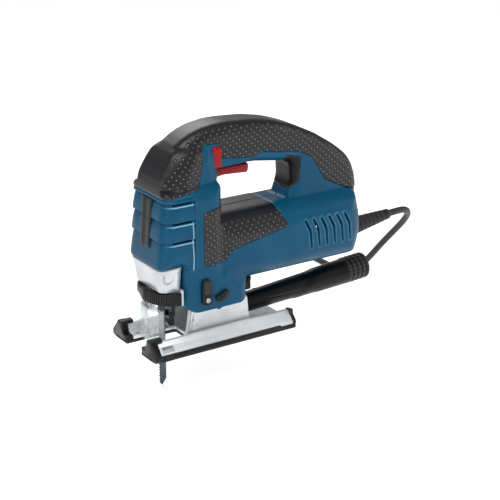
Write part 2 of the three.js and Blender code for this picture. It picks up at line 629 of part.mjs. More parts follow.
function makeCradle() {
  const reach = THREE.MathUtils.degToRad(38);
  const shape = new THREE.Shape();
  shape.absarc(0, 0, ARCH_RADIUS, Math.PI / 2 - reach, Math.PI / 2 + reach, false);
  shape.lineTo(-24, 20);
  shape.lineTo(-22.8, PLATE_TOP + GAP);
  shape.lineTo(-15.5, PLATE_TOP + GAP);
  shape.lineTo(-20, 20);
  shape.lineTo(-24.5, 38.6);
  shape.absarc(0, 0, ARCH_RADIUS - 4.4, Math.PI / 2 + 0.56, Math.PI / 2 - 0.56, true);
  shape.lineTo(20, 20);
  shape.lineTo(15.5, PLATE_TOP + GAP);
  shape.lineTo(22.8, PLATE_TOP + GAP);
  shape.lineTo(24, 20);
  const rearSlant = sidewall(outline([[-50, 60], [-50, 0], [CRADLE_REAR, 0], [-27.5, 40], [-27.5, 60]]), -60, 60);
  const rearWall = section(outline([[-19.5, 9], [19.5, 9], [21, 20], [25, 38], [0, 46], [-25, 38], [-21, 20]]),
    -31, -28.5);
  const cradle = cut(
    join(section(shape, CRADLE_REAR, CRADLE_FRONT), rearWall),
    rearSlant,
    onPipe(rod('x', 10.2, -20, 20)),
    rod('x', 2.1, -60, -20, 12).translate(0, 0, CLAMP_Z),
    block([27, 60], [-SLOT_HALF_WIDTH - 2, SLOT_HALF_WIDTH + 2], [0, 30]),
  );
  part('base_cradle', cradle, CAST_ALUMINIUM);

  const lever = join(
    rod('x', 4.5, -46, -31.3, 16),
    block([-50, -45], [-3, 3], [-4, 10]),
    rod('x', 1.9, -33, -26, 12),
  );
  part('bevel_clamp_lever', lever.translate(0, 0, CLAMP_Z), BLACK_PLASTIC);
}

function makeGuard() {
  const outside = outline([[54.6, -16], [62.5, -16], [66, -12.5], [66, 12.5], [62.5, 16], [54.6, 16]]);
  const hollow = outline([[50, -14], [61.5, -14], [64, -11.5], [64, 11.5], [61.5, 14], [50, 14]]);
  const floor = PLATE_TOP + GAP;
  const guard = slab(outside, floor, 40.5).subtract(slab(hollow, 0, 38.5));
  part('chip_guard', cut(guard, block([50, 60], [-12, 12], [30, 50])), CLEAR);
}

const PIPE_START = new THREE.Vector3(-42, 0, 19.8);
const PIPE_TILT = 3.6;             // degrees that the pipe rises towards the rear

function onPipe(body) {
  return body.rotate([0, PIPE_TILT, 0]).translate(PIPE_START.x, PIPE_START.y, PIPE_START.z);
}

function makePipe() {
  const pipe = turned([
    [8, 14], [9.8, 14], [9.8, 0], [10.2, -2], [11.3, -60], [11.8, -104], [11.8, -126], [10.2, -126],
    [9.6, -60], [8, 0], [8, 14],
  ], 'x');
  part('dust_pipe', onPipe(pipe), BLACK_PLASTIC);
  const profile = [[12.1, -122]];
  for (let k = 0; k < 4; k += 1) {
    const start = -122 - 5.6 * k;
    profile.push([13.2, start], [13.5, start - 3.6], [12.8, start - 4.2], [12.8, start - 5.4]);
  }
  profile.push([13.4, -144.6], [13.4, -147], [12.1, -147], [12.1, -122]);
  part('dust_coupling', onPipe(turned(profile, 'x')), BLACK_RUBBER);
}

// ---- housing screws, driven from the right ----

function makeScrews() {
  SCREW_PLACES.forEach(([x, z], index) => {
    const head = z > 130 ? -14.3 : -24.3;
    const screw = join(rod('y', 1.8, head - 0.5, head + 26, 12), rod('y', 3.6, head - 3, head, 16));
    part(`housing_screw_${index + 1}`, screw.translate(x, 0, z), STEEL);
  });
}

makeHousing();
makeGearbox();
makeField();
makeArmature();
makeBrushes();
makeCrank();
makePlunger();
makeOrbitalSupport();
makeControls();
makeElectrics();
makeBoot();
makeCord();
makePlug();
makeBase();
makeScrews();

export default group;
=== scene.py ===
import json
import math
from collections import Counter

import bmesh
import bpy
import numpy as np
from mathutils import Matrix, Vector
from mathutils.geometry import delaunay_2d_cdt


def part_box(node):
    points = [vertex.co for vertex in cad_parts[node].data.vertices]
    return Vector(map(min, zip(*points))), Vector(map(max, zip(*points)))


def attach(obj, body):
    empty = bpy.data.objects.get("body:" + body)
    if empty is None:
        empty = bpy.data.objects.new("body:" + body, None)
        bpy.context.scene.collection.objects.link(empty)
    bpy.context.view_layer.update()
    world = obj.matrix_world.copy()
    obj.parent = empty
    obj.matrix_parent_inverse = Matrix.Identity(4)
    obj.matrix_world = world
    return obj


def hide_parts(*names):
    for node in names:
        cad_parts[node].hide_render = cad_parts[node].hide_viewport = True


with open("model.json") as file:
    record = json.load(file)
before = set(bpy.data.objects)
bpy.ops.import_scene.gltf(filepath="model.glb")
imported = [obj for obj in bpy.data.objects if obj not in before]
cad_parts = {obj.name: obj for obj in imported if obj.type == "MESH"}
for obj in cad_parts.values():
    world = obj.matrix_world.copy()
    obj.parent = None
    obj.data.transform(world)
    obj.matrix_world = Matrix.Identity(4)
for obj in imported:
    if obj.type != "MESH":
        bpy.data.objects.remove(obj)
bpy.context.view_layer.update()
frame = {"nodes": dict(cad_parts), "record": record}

MM = 0.001
SURFACE_STEP = 1.5        # spacing of the points over the moulded shells
BLEND = 6                 # softness of the creases where housing bodies meet
RUBBER_PROUD = 0.35       # rubber stands this much above the blue shell
DIMPLES = 212             # rows of dimples in the rubber, per metre
ROWS_TURNED = math.radians(41)
NOSE_STEPS = (111, 129, 147)      # heights at which one band of the nose ends and the next begins
NOSE_REAR = 32.4
LIP_HIGHLIGHT_DROP = 4              # the painted highlights along the lips of the bands lie this far below the steps
CORD_DIAMETER = 7
FLOOR_Z = -44
BODY_OF = {node: body for body, nodes in frame["record"]["behaviour"]["bodies"].items() for node in nodes}


def box(node):
    """The CAD node's lowest and highest corner in millimetres."""
    low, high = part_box(node)
    return np.array(low) / MM, np.array(high) / MM


# ---- materials ----

def linear(code):
    """A colour written as six hex digits, as linear red, green, blue and alpha."""
    parts = [int(code[k:k + 2], 16) / 255 for k in (0, 2, 4)]
    return [c / 12.92 if c <= 0.04045 else ((c + 0.055) / 1.055) ** 2.4 for c in parts] + [1]


class Nodes:
    """A material under construction, with its Principled shader."""

    def __init__(self, name):
        self.name = name
        self.material = bpy.data.materials.new(name)
        self.material.use_nodes = True
        self.tree = self.material.node_tree
        self.shader = self.tree.nodes["Principled BSDF"]
        self.place = self.add("ShaderNodeTexCoord").outputs["Object"]

    def add(self, kind, inputs=None, **settings):
        node = self.tree.nodes.new(kind)
        for key, value in settings.items():
            setattr(node, key, value)
        for key, value in (inputs or {}).items():
            if isinstance(value, bpy.types.NodeSocket):
                self.tree.links.new(value, node.inputs[key])
            else:
                node.inputs[key].default_value = value
        return node

    def noise(self, scale, detail=3, stretch=None):
        place = self.place
        if stretch:
            place = self.add("ShaderNodeMapping", {"Vector": place, "Scale": stretch}).outputs[0]
        return self.add("ShaderNodeTexNoise", {"Vector": place, "Scale": scale, "Detail": detail}).outputs[0]

    def ramp(self, value, low, high, out_low=0.0, out_high=1.0):
        return self.add("ShaderNodeMapRange", {
            0: value, 1: low, 2: high, 3: out_low, 4: out_high}, interpolation_type="SMOOTHSTEP").outputs[0]

    def vector(self, operation, a, b=(0, 0, 0)):
        return self.add("ShaderNodeVectorMath", {0: a, 1: b}, operation=operation).outputs

    def math(self, operation, a, b=0.0):
        return self.add("ShaderNodeMath", {0: a, 1: b}, operation=operation).outputs[0]

    def mix(self, factor, a, b):
        return self.add("ShaderNodeMix", {0: factor, 6: a, 7: b}, data_type="RGBA").outputs[2]

    def bump(self, height, distance, strength=1.0, normal=None):
        inputs = {"Height": height, "Distance": distance, "Strength": strength}
        if normal:
            inputs["Normal"] = normal
        return self.add("ShaderNodeBump", inputs).outputs[0]

    def plug(self, socket, value):
        if isinstance(value, bpy.types.NodeSocket):
            self.tree.links.new(value, self.shader.inputs[socket])
        else:
            self.shader.inputs[socket].default_value = value


def moulded_look(name, colour, roughness, grain=0.25, metallic=0.0, coat=0.0, dusty="8f9296", dust=0.05,
                 gloss=0.3, wear_and_highlight="77797c"):
    """Moulded plastic, rubber or cast metal: fine grain, uneven gloss, faint mottling, handling marks, and
    sharp edges turned paler, partly wear and partly a painted highlight.
    """
    made = Nodes(name)
    clouds = made.noise(28, 4)
    marks = made.ramp(made.noise(260, 5), 0.6, 0.78, 0, dust)
    base = made.mix(made.ramp(clouds, 0.3, 0.7, 0, 0.16), linear(colour), linear("000000"))
    marked = made.mix(marks, base, linear(dusty))
    # Sharply bent edges are mixed towards a paler colour: partly wear, partly a painted highlight along lips
    # and parting edges.
    edges = made.ramp(made.add("ShaderNodeNewGeometry").outputs["Pointiness"], 0.515, 0.58, 0, 0.42)
    made.plug("Base Color", made.mix(made.math("MULTIPLY", edges, clouds), marked, linear(wear_and_highlight)))
    made.plug("Roughness", made.ramp(clouds, 0.25, 0.75, roughness - 0.05, roughness + 0.06))
    made.plug("Metallic", metallic)
    made.plug("Coat Weight", coat)
    made.plug("Coat Roughness", 0.2)
    made.plug("Specular IOR Level", gloss)
    made.plug("Normal", made.bump(made.noise(2600, 2), 0.00006, grain))
    return made


def dimpled_rubber(name, colour):
    """Satin rubber with staggered round dimples on the faces that look to the left and right, with painted
    shade in each pit and a painted glint beside it.
    """
    made = moulded_look(name, colour, 0.38, 0.35, dust=0.03, gloss=0.4)
    turned = made.add("ShaderNodeMapping", {
        "Vector": made.place, "Rotation": (0, ROWS_TURNED, 0), "Scale": (DIMPLES, 0, DIMPLES)}).outputs[0]
    off = made.vector("SUBTRACT", made.vector("FRACTION", turned)[0], (0.5, 0, 0.5))[0]
    dimple = made.ramp(made.vector("LENGTH", off)["Value"], 0.18, 0.32, 1, 0)
    normal = made.add("ShaderNodeTexCoord").outputs["Normal"]
    facing = made.add("ShaderNodeSeparateXYZ", {0: normal}).outputs[1]
    sideways = made.ramp(made.math("ABSOLUTE", facing), 0.7, 0.82)
    pressed = made.math("MULTIPLY", dimple, sideways)
    colour_in = made.shader.inputs["Base Color"].links[0].from_socket
    # Painted glint: a pale speck offset from each pit's centre, mixed towards light grey.
    beside = made.vector("LENGTH", made.vector("SUBTRACT", off, (-0.1, 0, -0.12))[0])["Value"]
    glint = made.math("MULTIPLY", made.ramp(beside, 0.07, 0.16, 0.85, 0), sideways)
    # Painted shade: the pits are mixed most of the way to near black.
    pit_shade = made.mix(made.math("MULTIPLY", pressed, 0.8), colour_in, linear("050506"))
    made.plug("Base Color", made.mix(glint, pit_shade, linear("8b8d90")))
    grain = made.shader.inputs["Normal"].links[0].from_socket
    made.plug("Normal", made.bump(made.math("SUBTRACT", 1.0, pressed), 0.0011, 1.0, grain))
    return made


def painted_lip_highlight_look(name, colour, **finish):
    """The housing's plastic, with painted highlights along the lips of the nose's bands and along its rear
    edge.
    """
    made = moulded_look(name, colour, 0.34, 0.3, **finish)
    x, _, z = made.add("ShaderNodeSeparateXYZ", {0: made.place}).outputs

    def thin_line(coordinate, place):
        off = made.math("ABSOLUTE", made.math("SUBTRACT", coordinate, place * MM))
        return made.ramp(off, 0.0002, 0.0006, 1, 0)

    # pale is a painted highlight: thin lines along the nose's rear edge and below each band step.
    top = NOSE_STEPS[1] - LIP_HIGHLIGHT_DROP
    pale = made.math("MULTIPLY", thin_line(x, NOSE_REAR), made.ramp(z, top * MM, (top + 1) * MM, 1, 0))
    for step in NOSE_STEPS:
        line = made.math("MULTIPLY", thin_line(z, step - LIP_HIGHLIGHT_DROP), made.ramp(x, 0.05, 0.061, 1, 0))
        pale = made.math("MAXIMUM", pale, line)
    colour_in = made.shader.inputs["Base Color"].links[0].from_socket
    # Painted highlight: the lines are mixed two thirds of the way to pale blue.
    made.plug("Base Color", made.mix(made.math("MULTIPLY", pale, 0.66), colour_in, linear("a9d3e6")))
    return made


def clear_look(name):
    """Clear polycarbonate, slightly fogged with fine dust, seen mostly through."""
    made = Nodes(name)
    fog = made.noise(90, 5)
    made.plug("Base Color", made.mix(made.ramp(fog, 0.35, 0.7), linear("f4f7f8"), linear("c3cace")))
    made.plug("Roughness", made.ramp(fog, 0.3, 0.7, 0.05, 0.2))
    made.plug("Specular IOR Level", 0.9)
    made.plug("Coat Weight", 1.0)
    made.plug("Coat Roughness", 0.04)
    made.plug("Alpha", made.ramp(fog, 0.3, 0.75, 0.2, 0.46))
    return made


def brushed_look(name, colour, roughness, stretch):
    """Ground or drawn metal with fine lines along one direction."""
    made = moulded_look(name, colour, roughness, 0.15, metallic=1.0, dust=0.04)
    lines = made.noise(900, 3, stretch)
    made.plug("Normal", made.bump(lines, 0.00004, 0.5))
    made.plug("Roughness", made.ramp(lines, 0.3, 0.7, roughness - 0.08, roughness + 0.1))
    return made


HOUSING_BLUE = {"dusty": "4d7890", "dust": 0.04, "gloss": 0.16, "wear_and_highlight": "5fa3c4"}
LOOKS = {made.name: made for made in (
    moulded_look("blue_plastic", "014866", 0.34, 0.3, **HOUSING_BLUE),
    painted_lip_highlight_look("nose_plastic", "014866", **HOUSING_BLUE),
    dimpled_rubber("grip_rubber", "0f1013"),
    moulded_look("cord_rubber", "111213", 0.5, 0.3),
    moulded_look("black_plastic", "08090a", 0.34, 0.3, dust=0.03, gloss=0.2),
    moulded_look("red_plastic", "8c0209", 0.32, 0.15, coat=0.06, dusty="b03a36", gloss=0.2, wear_and_highlight="b8524e"),
    moulded_look("cast_aluminium", "c9ccd0", 0.3, 0.5, 0.5, dusty="8a8d90", dust=0.1, gloss=0.5),
    brushed_look("steel", "b4b7ba", 0.28, (1, 1, 0.05)),
    brushed_look("dark_steel", "4a4c50", 0.36, (1, 1, 0.06)),
    brushed_look("bronze", "a9803f", 0.35, (1, 1, 0.1)),
    brushed_look("copper", "b0602e", 0.38, (0.06, 1, 1)),
    brushed_look("lamination", "55585d", 0.5, (20, 0.2, 0.2)),
    moulded_look("carbon", "242426", 0.75, 0.6),
    clear_look("clear_plastic"),
    moulded_look("grip_smooth", "0c0d0f", 0.4, 0.3, dust=0.03, gloss=0.2),
    # Near black: the painted shade in the head's screw recesses, also used for the tilt mark.
    moulded_look("recess", "0b0c0d", 0.6, 0.3),
    moulded_look("bright_aluminium", "e2e4e6", 0.34, 0.4, 0.3, dusty="9a9da0", dust=0.08),
)}
SLOTS = {m["slot"] for m in frame["record"]["materials"]}
SLOT_OF_LOOK = {look: look if look in SLOTS else "black_plastic" for look in LOOKS}
SLOT_OF_LOOK.update(grip_smooth="grip_rubber", nose_plastic="blue_plastic", bright_aluminium="cast_aluminium")


# ---- shapes: pairs of points and faces ----

def merged(*shapes):
    points, faces, start = [], [], 0
    for some_points, some_faces in shapes:
        points.append(np.asarray(some_points, float))
        faces += [[start + i for i in face] for face in some_faces]
        start += len(some_points)
    return np.concatenate(points), faces


def moved(shape, by):
    return shape[0] + np.array(by, float), shape[1]


def mirrored(shape):
    """The same shape on the other side of the middle plane."""
    return shape[0] * [1, -1, 1], [face[::-1] for face in shape[1]]


def tilted(shape, degrees, about):
    """The shape turned about the Y axis through a point, its rear end up for positive degrees."""
    turn, about = math.radians(degrees), np.array(about, float)
    cos, sin = math.cos(turn), math.sin(turn)
    x, y, z = (shape[0] - about).T
    return np.stack([x * cos + z * sin, y, z * cos - x * sin], 1) + about, shape[1]


def rounded(points, radius, step=1.5):
    """The closed outline through (u, v) or (u, v, own radius) points, with rounded corners."""
    outline = []
    for k, corner in enumerate(points):
        here = np.array(corner[:2], float)
        back = np.array(points[k - 1][:2], float) - here
        ahead = np.array(points[(k + 1) % len(points)][:2], float) - here
        long_back, long_ahead = np.linalg.norm(back), np.linalg.norm(ahead)
        cosine = np.clip(-back @ ahead / long_back / long_ahead, -1, 1)
        half = math.acos(cosine) / 2
        own_radius = corner[2] if len(corner) > 2 else radius
        reach = min(own_radius * math.tan(half), 0.48 * long_back, 0.48 * long_ahead)
        start, end = here + back / long_back * reach, here + ahead / long_ahead * reach
        pieces = max(1, math.ceil(half / math.radians(6))) if reach > 0.02 else 0
        for i in range(pieces + 1):
            t = i / max(pieces, 1)
            outline.append((1 - t) ** 2 * start + 2 * t * (1 - t) * here + t * t * end)
    full = []
    for k, point in enumerate(outline):
        following = outline[(k + 1) % len(outline)]
        count = max(1, math.ceil(np.linalg.norm(following - point) / step))
        full += [point + (following - point) * i / count for i in range(count)]
    return np.array(full)


def rectangle(u, v, radius, step=1.5):
    """A rounded rectangle between the two values of each coordinate."""
    return rounded([(u[0], v[0]), (u[1], v[0]), (u[1], v[1]), (u[0], v[1])], radius, step)


def outward(outline):
    """The outward corner directions of a counter-clockwise outline, longer at sharp corners."""
    ahead = np.roll(outline, -1, 0) - outline
    ahead /= np.maximum(np.linalg.norm(ahead, axis=1), 1e-9)[:, None]
    back = np.roll(ahead, 1, 0)
    both = np.stack([ahead[:, 1] + back[:, 1], -ahead[:, 0] - back[:, 0]], 1)
    return 2 * both / np.maximum((both ** 2).sum(1), 0.6)[:, None]


def counter_clockwise(outline):
    outline = np.asarray(outline, float)
    following = np.roll(outline, -1, 0)
    area = (outline[:, 0] * following[:, 1] - following[:, 0] * outline[:, 1]).sum()
    return outline if area > 0 else outline[::-1]


def soft(start, end, radius, steps=3):
    """Heights and insets of a drawn-out piece with rounded ends."""
    turn = [math.pi / 2 * i / steps for i in range(steps + 1)]
    first = [(start + radius * (1 - math.cos(t)), radius * (1 - math.sin(t))) for t in turn]
    last = [(end - radius * (1 - math.cos(t)), radius * (1 - math.sin(t))) for t in reversed(turn)]
    return first + last


def placed(outline, height, axis):
    """Outline points at one height along an axis: (Y, Z) along x, (X, Z) along y, (X, Y) along z."""
    flat = np.full(len(outline), float(height))
    u, v = np.asarray(outline, float).T
    return np.stack({"x": [flat, u, v], "y": [u, flat, v], "z": [u, v, flat]}[axis], 1)


def joined(order, count):
    """Faces between loops of count points, each loop joined to the next one in the order given."""
    faces = []
    for k, n in zip(order, order[1:]):
        for i in range(count):
            j = (i + 1) % count
            faces.append([k * count + i, k * count + j, n * count + j, n * count + i])
    return faces


def lofted(loops, flipped=False):
    """A skin over loops of equally many points, closed at both ends."""
    count = len(loops[0])
    caps = [list(range(count))[::-1], [(len(loops) - 1) * count + i for i in range(count)]]
    faces = caps + joined(range(len(loops)), count)
    return np.concatenate(loops), [f[::-1] for f in faces] if flipped else faces


def pressed(outline, levels, axis):
    """An outline drawn out along an axis through (height, inset) levels."""
    outline = counter_clockwise(outline)
    out = outward(outline)
    return lofted([placed(outline - out * inset, height, axis) for height, inset in levels], axis == "y")


def lathe(profile, axis="x", centre=(0, 0, 0), segments=72, ripple=None):
    """A turned piece from (radius, height) pairs. ripple(angle, height) adds to the radius."""
    turn = np.arange(segments) * 2 * math.pi / segments
    loops = []
    for radius, height in profile:
        radii = np.full(segments, max(radius, 0.01))
        if ripple:
            radii = radii + ripple(turn, height)
        loops.append(placed(np.stack([radii * np.cos(turn), radii * np.sin(turn)], 1), height, axis))
    rising = profile[-1][1] > profile[0][1]
    points, faces = lofted(loops, (axis == "y") == rising)
    return points + np.array(centre, float), faces


def hollow(outer, inner):
    """A tube or ring: loops outside, then back along the loops inside, joined at both ends."""
    loops = outer + inner[::-1]
    return np.concatenate(loops), joined([*range(len(loops)), 0], len(loops[0]))


def rounded_box(x, y, z, radius, edge):
    """A block with rounded upright corners and softened top and bottom edges."""
    return pressed(rectangle(x, y, radius), soft(z[0], z[1], edge), "z")


def smooth(mesh, degrees):
    """Shades the mesh smooth, with sharp edges where it bends by more than an angle."""
    mesh.polygons.foreach_set("use_smooth", [True] * len(mesh.polygons))
    mesh.set_sharp_from_angle(angle=math.radians(degrees))


def shape_piece(name, shape, nodes, look, sharp=32):
    """Makes the object, rides it on its CAD node's body and lets it stand for its CAD nodes."""
    points, faces = shape
    mesh = bpy.data.meshes.new(name)
    mesh.from_pydata((np.asarray(points, float) * MM).tolist(), [], faces)
    turning = bmesh.new()
    turning.from_mesh(mesh)
    bmesh.ops.recalc_face_normals(turning, faces=turning.faces)
    turning.to_mesh(mesh)
    turning.free()
    smooth(mesh, sharp)
    made = bpy.data.objects.new(name, mesh)
    bpy.context.scene.collection.objects.link(made)
    made.data.materials.append(LOOKS[look].material)
    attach(made, BODY_OF[nodes[0]])
    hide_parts(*nodes)
    return made


def carve(made, *cutters):
    """Cuts closed shapes out of a piece."""
    for points, faces in cutters:
        mesh = bpy.data.meshes.new("cutter")
        mesh.from_pydata((points * MM).tolist(), [], faces)
        tool = bpy.data.objects.new("cutter", mesh)
        bpy.context.scene.collection.objects.link(tool)
        cut = made.modifiers.new("cut", "BOOLEAN")
        cut.object, cut.operation, cut.solver = tool, "DIFFERENCE", "EXACT"
        bpy.context.view_layer.update()
        shown = made.evaluated_get(bpy.context.evaluated_depsgraph_get())
        result = bpy.data.meshes.new_from_object(shown)
        made.modifiers.clear()
        made.data = result
        bpy.data.objects.remove(tool)
    smooth(made.data, 32)


# ---- camera, floor and light ----

TARGET = Vector((-0.0508, 0, 0.0729))
AZIMUTH, ELEVATION, DISTANCE = math.radians(33.2), math.radians(20.3), 1.3
FOCAL_LENGTH = 96.8
FLOOR_REACH = 6


def make_camera():
    camera = bpy.data.objects.new("camera", bpy.data.cameras.new("camera"))
    level = math.cos(ELEVATION)
    back = Vector((math.sin(AZIMUTH) * level, math.cos(AZIMUTH) * level, math.sin(ELEVATION)))
    camera.location = TARGET + back * DISTANCE
    camera.rotation_mode = "QUATERNION"
    camera.rotation_quaternion = (-back).to_track_quat("-Z", "Y")
    camera.data.lens = FOCAL_LENGTH
    bpy.context.scene.collection.objects.link(camera)
    bpy.context.scene.camera = camera


def make_light(name, place, size, power, colour=(1, 1, 1)):
    lamp = bpy.data.lights.new(name, "AREA")
    lamp.shape = "RECTANGLE"
    lamp.size, lamp.size_y = size
    lamp.energy = power
    lamp.color = colour
    light = bpy.data.objects.new(name, lamp)
    light.location = place
    light.rotation_mode = "QUATERNION"
    light.rotation_quaternion = (TARGET - Vector(place)).to_track_quat("-Z", "Y")
    bpy.context.scene.collection.objects.link(light)


def make_studio():
    make_light("key_from_above", (0.35, 0.75, 1.35), (0.9, 0.7), 13)
    make_light("fill_from_front", (1.25, 0.9, 0.45), (0.8, 0.8), 4)
    make_light("fill_from_rear", (-1.2, 0.8, 0.5), (0.6, 0.9), 4)
    make_light("rim_from_behind", (-0.3, -1.2, 0.9), (0.9, 0.6), 6)
    world = bpy.data.worlds.new("studio")
    world.use_nodes = True
    background = world.node_tree.nodes["Background"]
    background.inputs["Color"].default_value = (0.95, 0.97, 1, 1)
    background.inputs["Strength"].default_value = 0.36
    bpy.context.scene.world = world
    bpy.context.scene.view_settings.view_transform = "Standard"


def make_floor():
    mesh = bpy.data.meshes.new("floor")
    level = FLOOR_Z * MM - 0.0002
    corners = [(x * FLOOR_REACH, y * FLOOR_REACH, level) for x, y in ((-1, -1), (1, -1), (1, 1), (-1, 1))]
    mesh.from_pydata(corners, [], [[0, 1, 2, 3]])
    floor = bpy.data.objects.new("floor", mesh)
    bpy.context.scene.collection.objects.link(floor)
    pale = Nodes("pale_floor")
    clouds = pale.ramp(pale.noise(3), 0.3, 0.7)
    pale.plug("Base Color", pale.mix(clouds, linear("fafafa"), linear("f6f6f6")))
    pale.plug("Roughness", 0.9)
    pale.plug("Emission Color", linear("ffffff"))
    pale.plug("Emission Strength", 0.62)
    mesh.materials.append(pale.material)


# ---- cord, coil, tie and plug ----

# The free cord, from the end of its boot down to the floor and along it to the coil.
CORD_ROUTE = [
    (-220.9, 0, 78.74), (-230, 0, 79.3), (-241, -2.5, 78.4), (-252, -8, 74), (-261, -17, 66),
    (-267, -29, 55), (-270, -43, 42), (-270.5, -58, 27), (-270, -73, 11), (-269, -87, -5),
    (-268.5, -101, -19), (-268.5, -116, -30), (-268.5, -132, -37), (-268.5, -150, -40),
    (-268.5, -170, -40.5), (-268.5, -200, -40.5), (-268.5, -235, -40.5), (-268.5, -278, -40.5),
]
# Radius and height of the coil's turns, in the order in which the cord runs through them.
COIL_TURNS = [
    (45.5, -40.5), (38.5, -40.5), (31.5, -40.5), (31.5, -33.5), (31.5, -26.5), (38.5, -26.5), (38.5, -33.5),
    (45.5, -33.5), (45.5, -26.5),
]
COIL_OUTER = 49
# in degrees: where the first turn starts, how far each turn keeps its place, and how far it takes
# to reach the next one
COIL_START, LAP, COIL_CHANGE = 180, 210, 120
COIL_END = 270


def smooth_route(points, per_gap=6):
    """Points on the Catmull-Rom curve through a route."""
    points = [np.array(p, float) for p in points]
    points = [2 * points[0] - points[1]] + points + [2 * points[-1] - points[-2]]
    line = []
    for k in range(1, len(points) - 2):
        a, b, c, d = points[k - 1:k + 3]
        for i in range(per_gap):
            t = i / per_gap
            line.append(0.5 * (2 * b + (c - a) * t + (2 * a - 5 * b + 4 * c - d) * t * t
                               + (3 * b - a - 3 * c + d) * t ** 3))
    line.append(points[-2])
    return line


def coil_line(centre):
    """The turns of the coil, counter-clockwise from above, each easing over to the next."""
    line = []
    start = COIL_START
    for cell, following in zip(COIL_TURNS, COIL_TURNS[1:] + COIL_TURNS[-1:]):
        leave = start + LAP
        stop = leave + COIL_CHANGE
        if cell == following:
            leave = stop = start + (COIL_END - start) % 360
        for degrees in range(start, stop, 5):
            share = max(0, (degrees - leave) / COIL_CHANGE)
            share = share * share * (3 - 2 * share)
            radius = cell[0] + (following[0] - cell[0]) * share
            height = cell[1] + (following[1] - cell[1]) * share
            turn = math.radians(degrees)
            line.append(np.array([
                centre[0] + radius * math.cos(turn), centre[1] + radius * math.sin(turn), height]))
        start = stop
    return line


def tube_along(name, line, diameter):
    """A round tube as a curve object through points in millimetres."""
    curve = bpy.data.curves.new(name, "CURVE")
    curve.dimensions = "3D"
    curve.bevel_depth = diameter / 2 * MM
    curve.bevel_resolution = 4
    curve.use_fill_caps = True
    spline = curve.splines.new("POLY")
    spline.points.add(len(line) - 1)
    for point, place in zip(spline.points, line):
        point.co = (*(place * MM), 1)
    tube = bpy.data.objects.new(name, curve)
    bpy.context.scene.collection.objects.link(tube)
    return tube


def make_cord():
    plug_low, plug_high = box("mains_plug")
    coil_low, coil_high = box("cord_coil")
    coil_centre = (coil_low[0] + COIL_OUTER, coil_high[1] - COIL_OUTER)
    radius, height = COIL_TURNS[-1]
    to_plug = [np.array([x, coil_centre[1] - radius, height])
               for x in np.linspace(coil_centre[0], plug_low[0] + 6, 5)]
    line = smooth_route(CORD_ROUTE) + coil_line(coil_centre) + to_plug
    cord = tube_along("mains_cord", line, CORD_DIAMETER)
    cord.data.materials.append(LOOKS["cord_rubber"].material)
    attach(cord, "housing")
    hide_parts("cord", "cord_coil")
    plug = make_plug(plug_low, plug_high)
    tie = make_tie()


def make_plug(low, high):
    centre = (low[0], (low[1] + high[1]) / 2, (low[2] + high[2]) / 2)
    profile = [(3.7, 0), (4.4, 0.3), (4.6, 1.2)]
    for k in range(4):
        start, wider = 1.6 + 2.8 * k, 0.5 * k
        profile += [(4.7 + wider, start), (4.9 + wider, start + 0.5), (5 + wider, start + 1.6),
                    (4.2 + wider, start + 1.9), (4.2 + wider, start + 2.7)]
    profile += [(7.2, 13), (8.6, 14.6), (11, 16.3), (13, 18.2), (14.8, 22), (16.2, 27.5), (17, 33),
                (17.4, 40), (17.4, 46), (17, 48.2), (16.2, 49), (0, 49)]

    def finger_grips(turn, height):
        return np.where(np.abs(np.sin(turn)) > 0.8, -0.9 * math.exp(-((height - 33) / 9) ** 2), 0)

    body = lathe(profile, "x", centre, 64, finger_grips)
    pins = [lathe([(2.4, 48), (2.4, 64), (2.2, 66), (1.5, 67), (0, 67)], "x",
                  (centre[0], centre[1] + side, centre[2]), 32) for side in (-9.5, 9.5)]
    plug = shape_piece("mains_plug_body", body, ["mains_plug"], "black_plastic")
    shape_piece("mains_plug_pins", merged(*pins), ["mains_plug"], "steel").parent = plug
    return plug


def make_tie():
    """A flat strap round the coil, closed all the way."""
    low, high = box("cord_tie")
    thick, under, count = 1.2, 0.2, 96
    outer = rectangle((low[0], high[0]), (low[2], high[2]), 3)
    inner = rectangle((low[0] + thick, high[0] - thick), (low[2] + under, high[2] - thick), 3)
    loops = [[placed(resampled(outline, count), y, "y") for y in np.linspace(low[1], high[1], 5)]
             for outline in (outer, inner)]
    return shape_piece("cord_tie_strap", hollow(*loops), ["cord_tie"], "black_plastic")


def resampled(loop, count):
    """A closed loop as count points evenly spaced along it."""
    closed = np.concatenate([loop, loop[:1]])
    along = np.concatenate([[0], np.cumsum(np.linalg.norm(np.diff(closed, axis=0), axis=1))])
    wanted = np.arange(count) / count * along[-1]
    return np.stack([np.interp(wanted, along, closed[:, k]) for k in (0, 1)], 1)


# ---- housing: moulded shells as heights over X and Z ----

HALF_WIDTH, ARCH_CLEAR = 34.5, 51
HEAD_TOP, NOSE_TOP = 83.9, 160
BARREL = [(10, 55), (10, 124), (-160, 124, 10), (-169, 85, 60), (-160, 55, 10)]
COLUMN = [(-29, 24), (40, 24), (40, 84), (66.3, 82), (60, 157), (-2, 157), (-2, 75), (-29, 60)]
SHOULDER = [(56, 120), (52, 176), (34, 190), (2, 190), (-4, 160), (-2, 120)]
NECK = [(10, 130), (64, 130), (61, 166), (44, 190), (14, 194)]
HANDLE_TOP = [
    (55, 140), (57, 166), (49, 182), (37, 194), (21, 203), (3, 207.5), (-14, 208.5), (-46, 206.5), (-70, 202),
    (-92, 194.5), (-116, 183), (-140, 168), (-157, 154), (-165, 137), (-167, 118),
]
HANDLE_HOLE = [(-2, 158, 9), (-2, 112, 3), (-78, 112, 3), (-89, 140, 16), (-88, 160, 9), (-46, 166, 12)]
HAND_OPENING = [
    (-2, 168.2, 3), (-2, 124, 5), (-82.7, 124, 6), (-89, 140, 16), (-88, 160, 9), (-50, 166, 12),
    (-38, 168.2, 8),
]
SILHOUETTE = [
    (-29, 37.6, 1), (39.2, 37.6, 1), (39.2, HEAD_TOP, 1), (66, HEAD_TOP, 3), (60.2, 152, 60),
    *HANDLE_TOP[1:-1],
    (-167, 118, 12), (-165, 104, 20), (-169, 85, 60), (-160, 55, 10), (-29, 55, 10),
]
